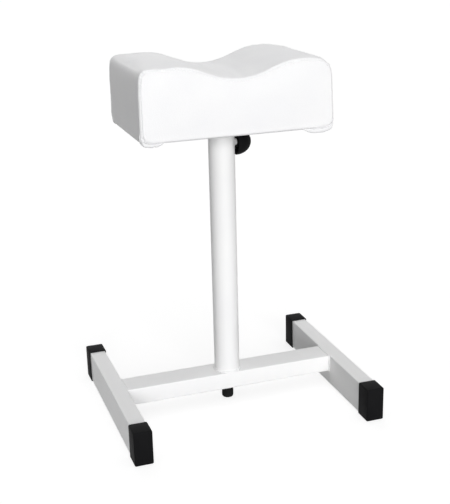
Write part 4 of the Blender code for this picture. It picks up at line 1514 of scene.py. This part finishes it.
# Floor, light and camera
WORLD_LEVEL = 0.10
WORLD_COLOUR = (1.0, 1.0, 1.0)
FLOOR_SIZE = 60.0
FLOOR_TONE = 0.38
FLOOR_GLOW = 0.77            # what the floor adds for the camera to show white
LAMP_DISTANCE = 2.5
SUNS = (                     # name, direction it comes from, how wide it is, strength
    ("key_light", (-0.120, -0.970, 0.194), math.radians(34), 3.10),
    ("top_light", (0.08, -0.14, 1.0), math.radians(80), 0.90),
    ("back_light", (0.04, 0.86, 0.50), math.radians(60), 0.55),
)
CAMERA_AZIMUTH = math.radians(-18.599)
CAMERA_PITCH = math.radians(18.765)
CAMERA_ROLL = math.radians(-1.439)
CAMERA_DISTANCE = 1.6477
CAMERA_SIDE = -0.0045
CAMERA_RISE = 0.2332
CAMERA_LENS = 72.37
CAMERA_SENSOR = 36.0
CAMERA_NEAREST = 0.05
CAMERA_FURTHEST = 60.0


def seen_directly(tree):
    """1 where the camera sees a thing, straight on or in gloss or glass."""
    path = add_node(tree, "ShaderNodeLightPath")
    seen = maths(tree, "ADD", path.outputs["Is Camera Ray"], path.outputs["Is Glossy Ray"])
    return maths(tree, "ADD", seen, path.outputs["Is Transmission Ray"])


def make_floor():
    """A pale floor that shows white to the camera and keeps the object's shadow."""
    bpy.ops.object.select_all(action="DESELECT")
    bpy.ops.mesh.primitive_plane_add(size=FLOOR_SIZE, location=(0, 0, 0))
    floor = bpy.context.object
    floor.name = "studio_floor"
    material = bpy.data.materials.new("studio_floor")
    material.use_nodes = True
    tree = material.node_tree
    tree.nodes.clear()
    paint = add_node(tree, "ShaderNodeBsdfDiffuse",
                     values={"Color": (FLOOR_TONE, FLOOR_TONE, FLOOR_TONE, 1.0)})
    glow = add_node(tree, "ShaderNodeEmission")
    tree.links.new(between(tree, seen_directly(tree), 0.0, FLOOR_GLOW), glow.inputs["Strength"])
    both = add_node(tree, "ShaderNodeAddShader")
    end = add_node(tree, "ShaderNodeOutputMaterial")
    tree.links.new(paint.outputs[0], both.inputs[0])
    tree.links.new(glow.outputs[0], both.inputs[1])
    tree.links.new(both.outputs[0], end.inputs["Surface"])
    floor.data.materials.append(material)


def make_light():
    """A dim white world, which the camera sees as white, and three wide soft lamps."""
    bpy.context.scene.view_settings.view_transform = "Standard"
    world = bpy.data.worlds.new("studio")
    bpy.context.scene.world = world
    world.use_nodes = True
    tree = world.node_tree
    sky = tree.nodes["Background"]
    sky.inputs["Color"].default_value = (*WORLD_COLOUR, 1.0)
    tree.links.new(between(tree, seen_directly(tree), WORLD_LEVEL, 1.0), sky.inputs["Strength"])
    for name, direction, width, strength in SUNS:
        data = bpy.data.lights.new(name, "SUN")
        data.angle = width
        data.energy = strength
        lamp = put_in_scene(name, data)
        away = Vector(direction).normalized()
        lamp.location = away * LAMP_DISTANCE
        lamp.rotation_euler = away.to_track_quat("Z", "Y").to_euler()


def make_camera():
    """The camera that a fit to the photograph's edges gave."""
    a, e, r = CAMERA_AZIMUTH, CAMERA_PITCH, CAMERA_ROLL
    back = Vector((math.sin(a) * math.cos(e), -math.cos(a) * math.cos(e), math.sin(e)))
    level = Vector((math.cos(a), math.sin(a), 0))
    upright = back.cross(level)
    right = level * math.cos(r) + upright * math.sin(r)
    up = upright * math.cos(r) - level * math.sin(r)
    data = bpy.data.cameras.new("camera")
    data.lens = CAMERA_LENS
    data.sensor_width = CAMERA_SENSOR
    data.clip_start = CAMERA_NEAREST
    data.clip_end = CAMERA_FURTHEST
    camera = put_in_scene("camera", data)
    turn = Matrix((right, up, back)).transposed().to_4x4()
    place = back * CAMERA_DISTANCE + right * CAMERA_SIDE + up * CAMERA_RISE
    camera.matrix_world = Matrix.Translation(place) @ turn
    bpy.context.scene.camera = camera


# Effects that several finishes use
SLOW_CHANGE = slow_change_group()
PEBBLE_GRAIN = pebble_grain_group()
SKIN_RIPPLE = skin_ripple_group()
DRAWN_LINES = drawn_lines_group()
STITCH_PULL = stitch_pull_group()
FABRIC_BOND = fabric_bond_group()

# The finish for each material slot
FINISHES = {
    "white_powder_coat": powder_coat(),
    "white_vinyl": white_vinyl(),
    "black_plastic": moulded_black(),
    "black_rubber": black_rubber(),
    "zinc_steel": zinc_plate(),
    "chrome_tube": polished_chrome(),
    "black_nylon": turned_nylon(),
    "plywood": birch_plywood(),
    "foam": open_foam(),
    "black_liner": bonded_liner(),
}

# CAD nodes that are shown as they are, by the slot of their finish
KEPT_NODES = {
    "zinc_steel": ("base_bolt", "base_washer", "post_plug", "clamp_screw", "plate_screw_1",
                   "plate_screw_2", "plate_screw_3", "plate_screw_4"),
    "black_nylon": ("inner_glide", "clamp_pad"),
}


def finish_kept_nodes():
    for slot, names in KEPT_NODES.items():
        for name in names:
            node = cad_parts[name]
            if not node.material_slots:
                node.data.materials.append(FINISHES[slot])
            for material_slot in node.material_slots:
                material_slot.material = FINISHES[slot]


# The whole footrest
make_camera()
make_rails()
make_crossbar()
make_base_welds()
make_boots()
make_centre_foot()
make_post()
make_clamp_boss()
make_sleeve()
make_inner_tube()
make_knob()
make_seat_plate()
make_board()
make_cushion()
finish_kept_nodes()
make_floor()
make_light()
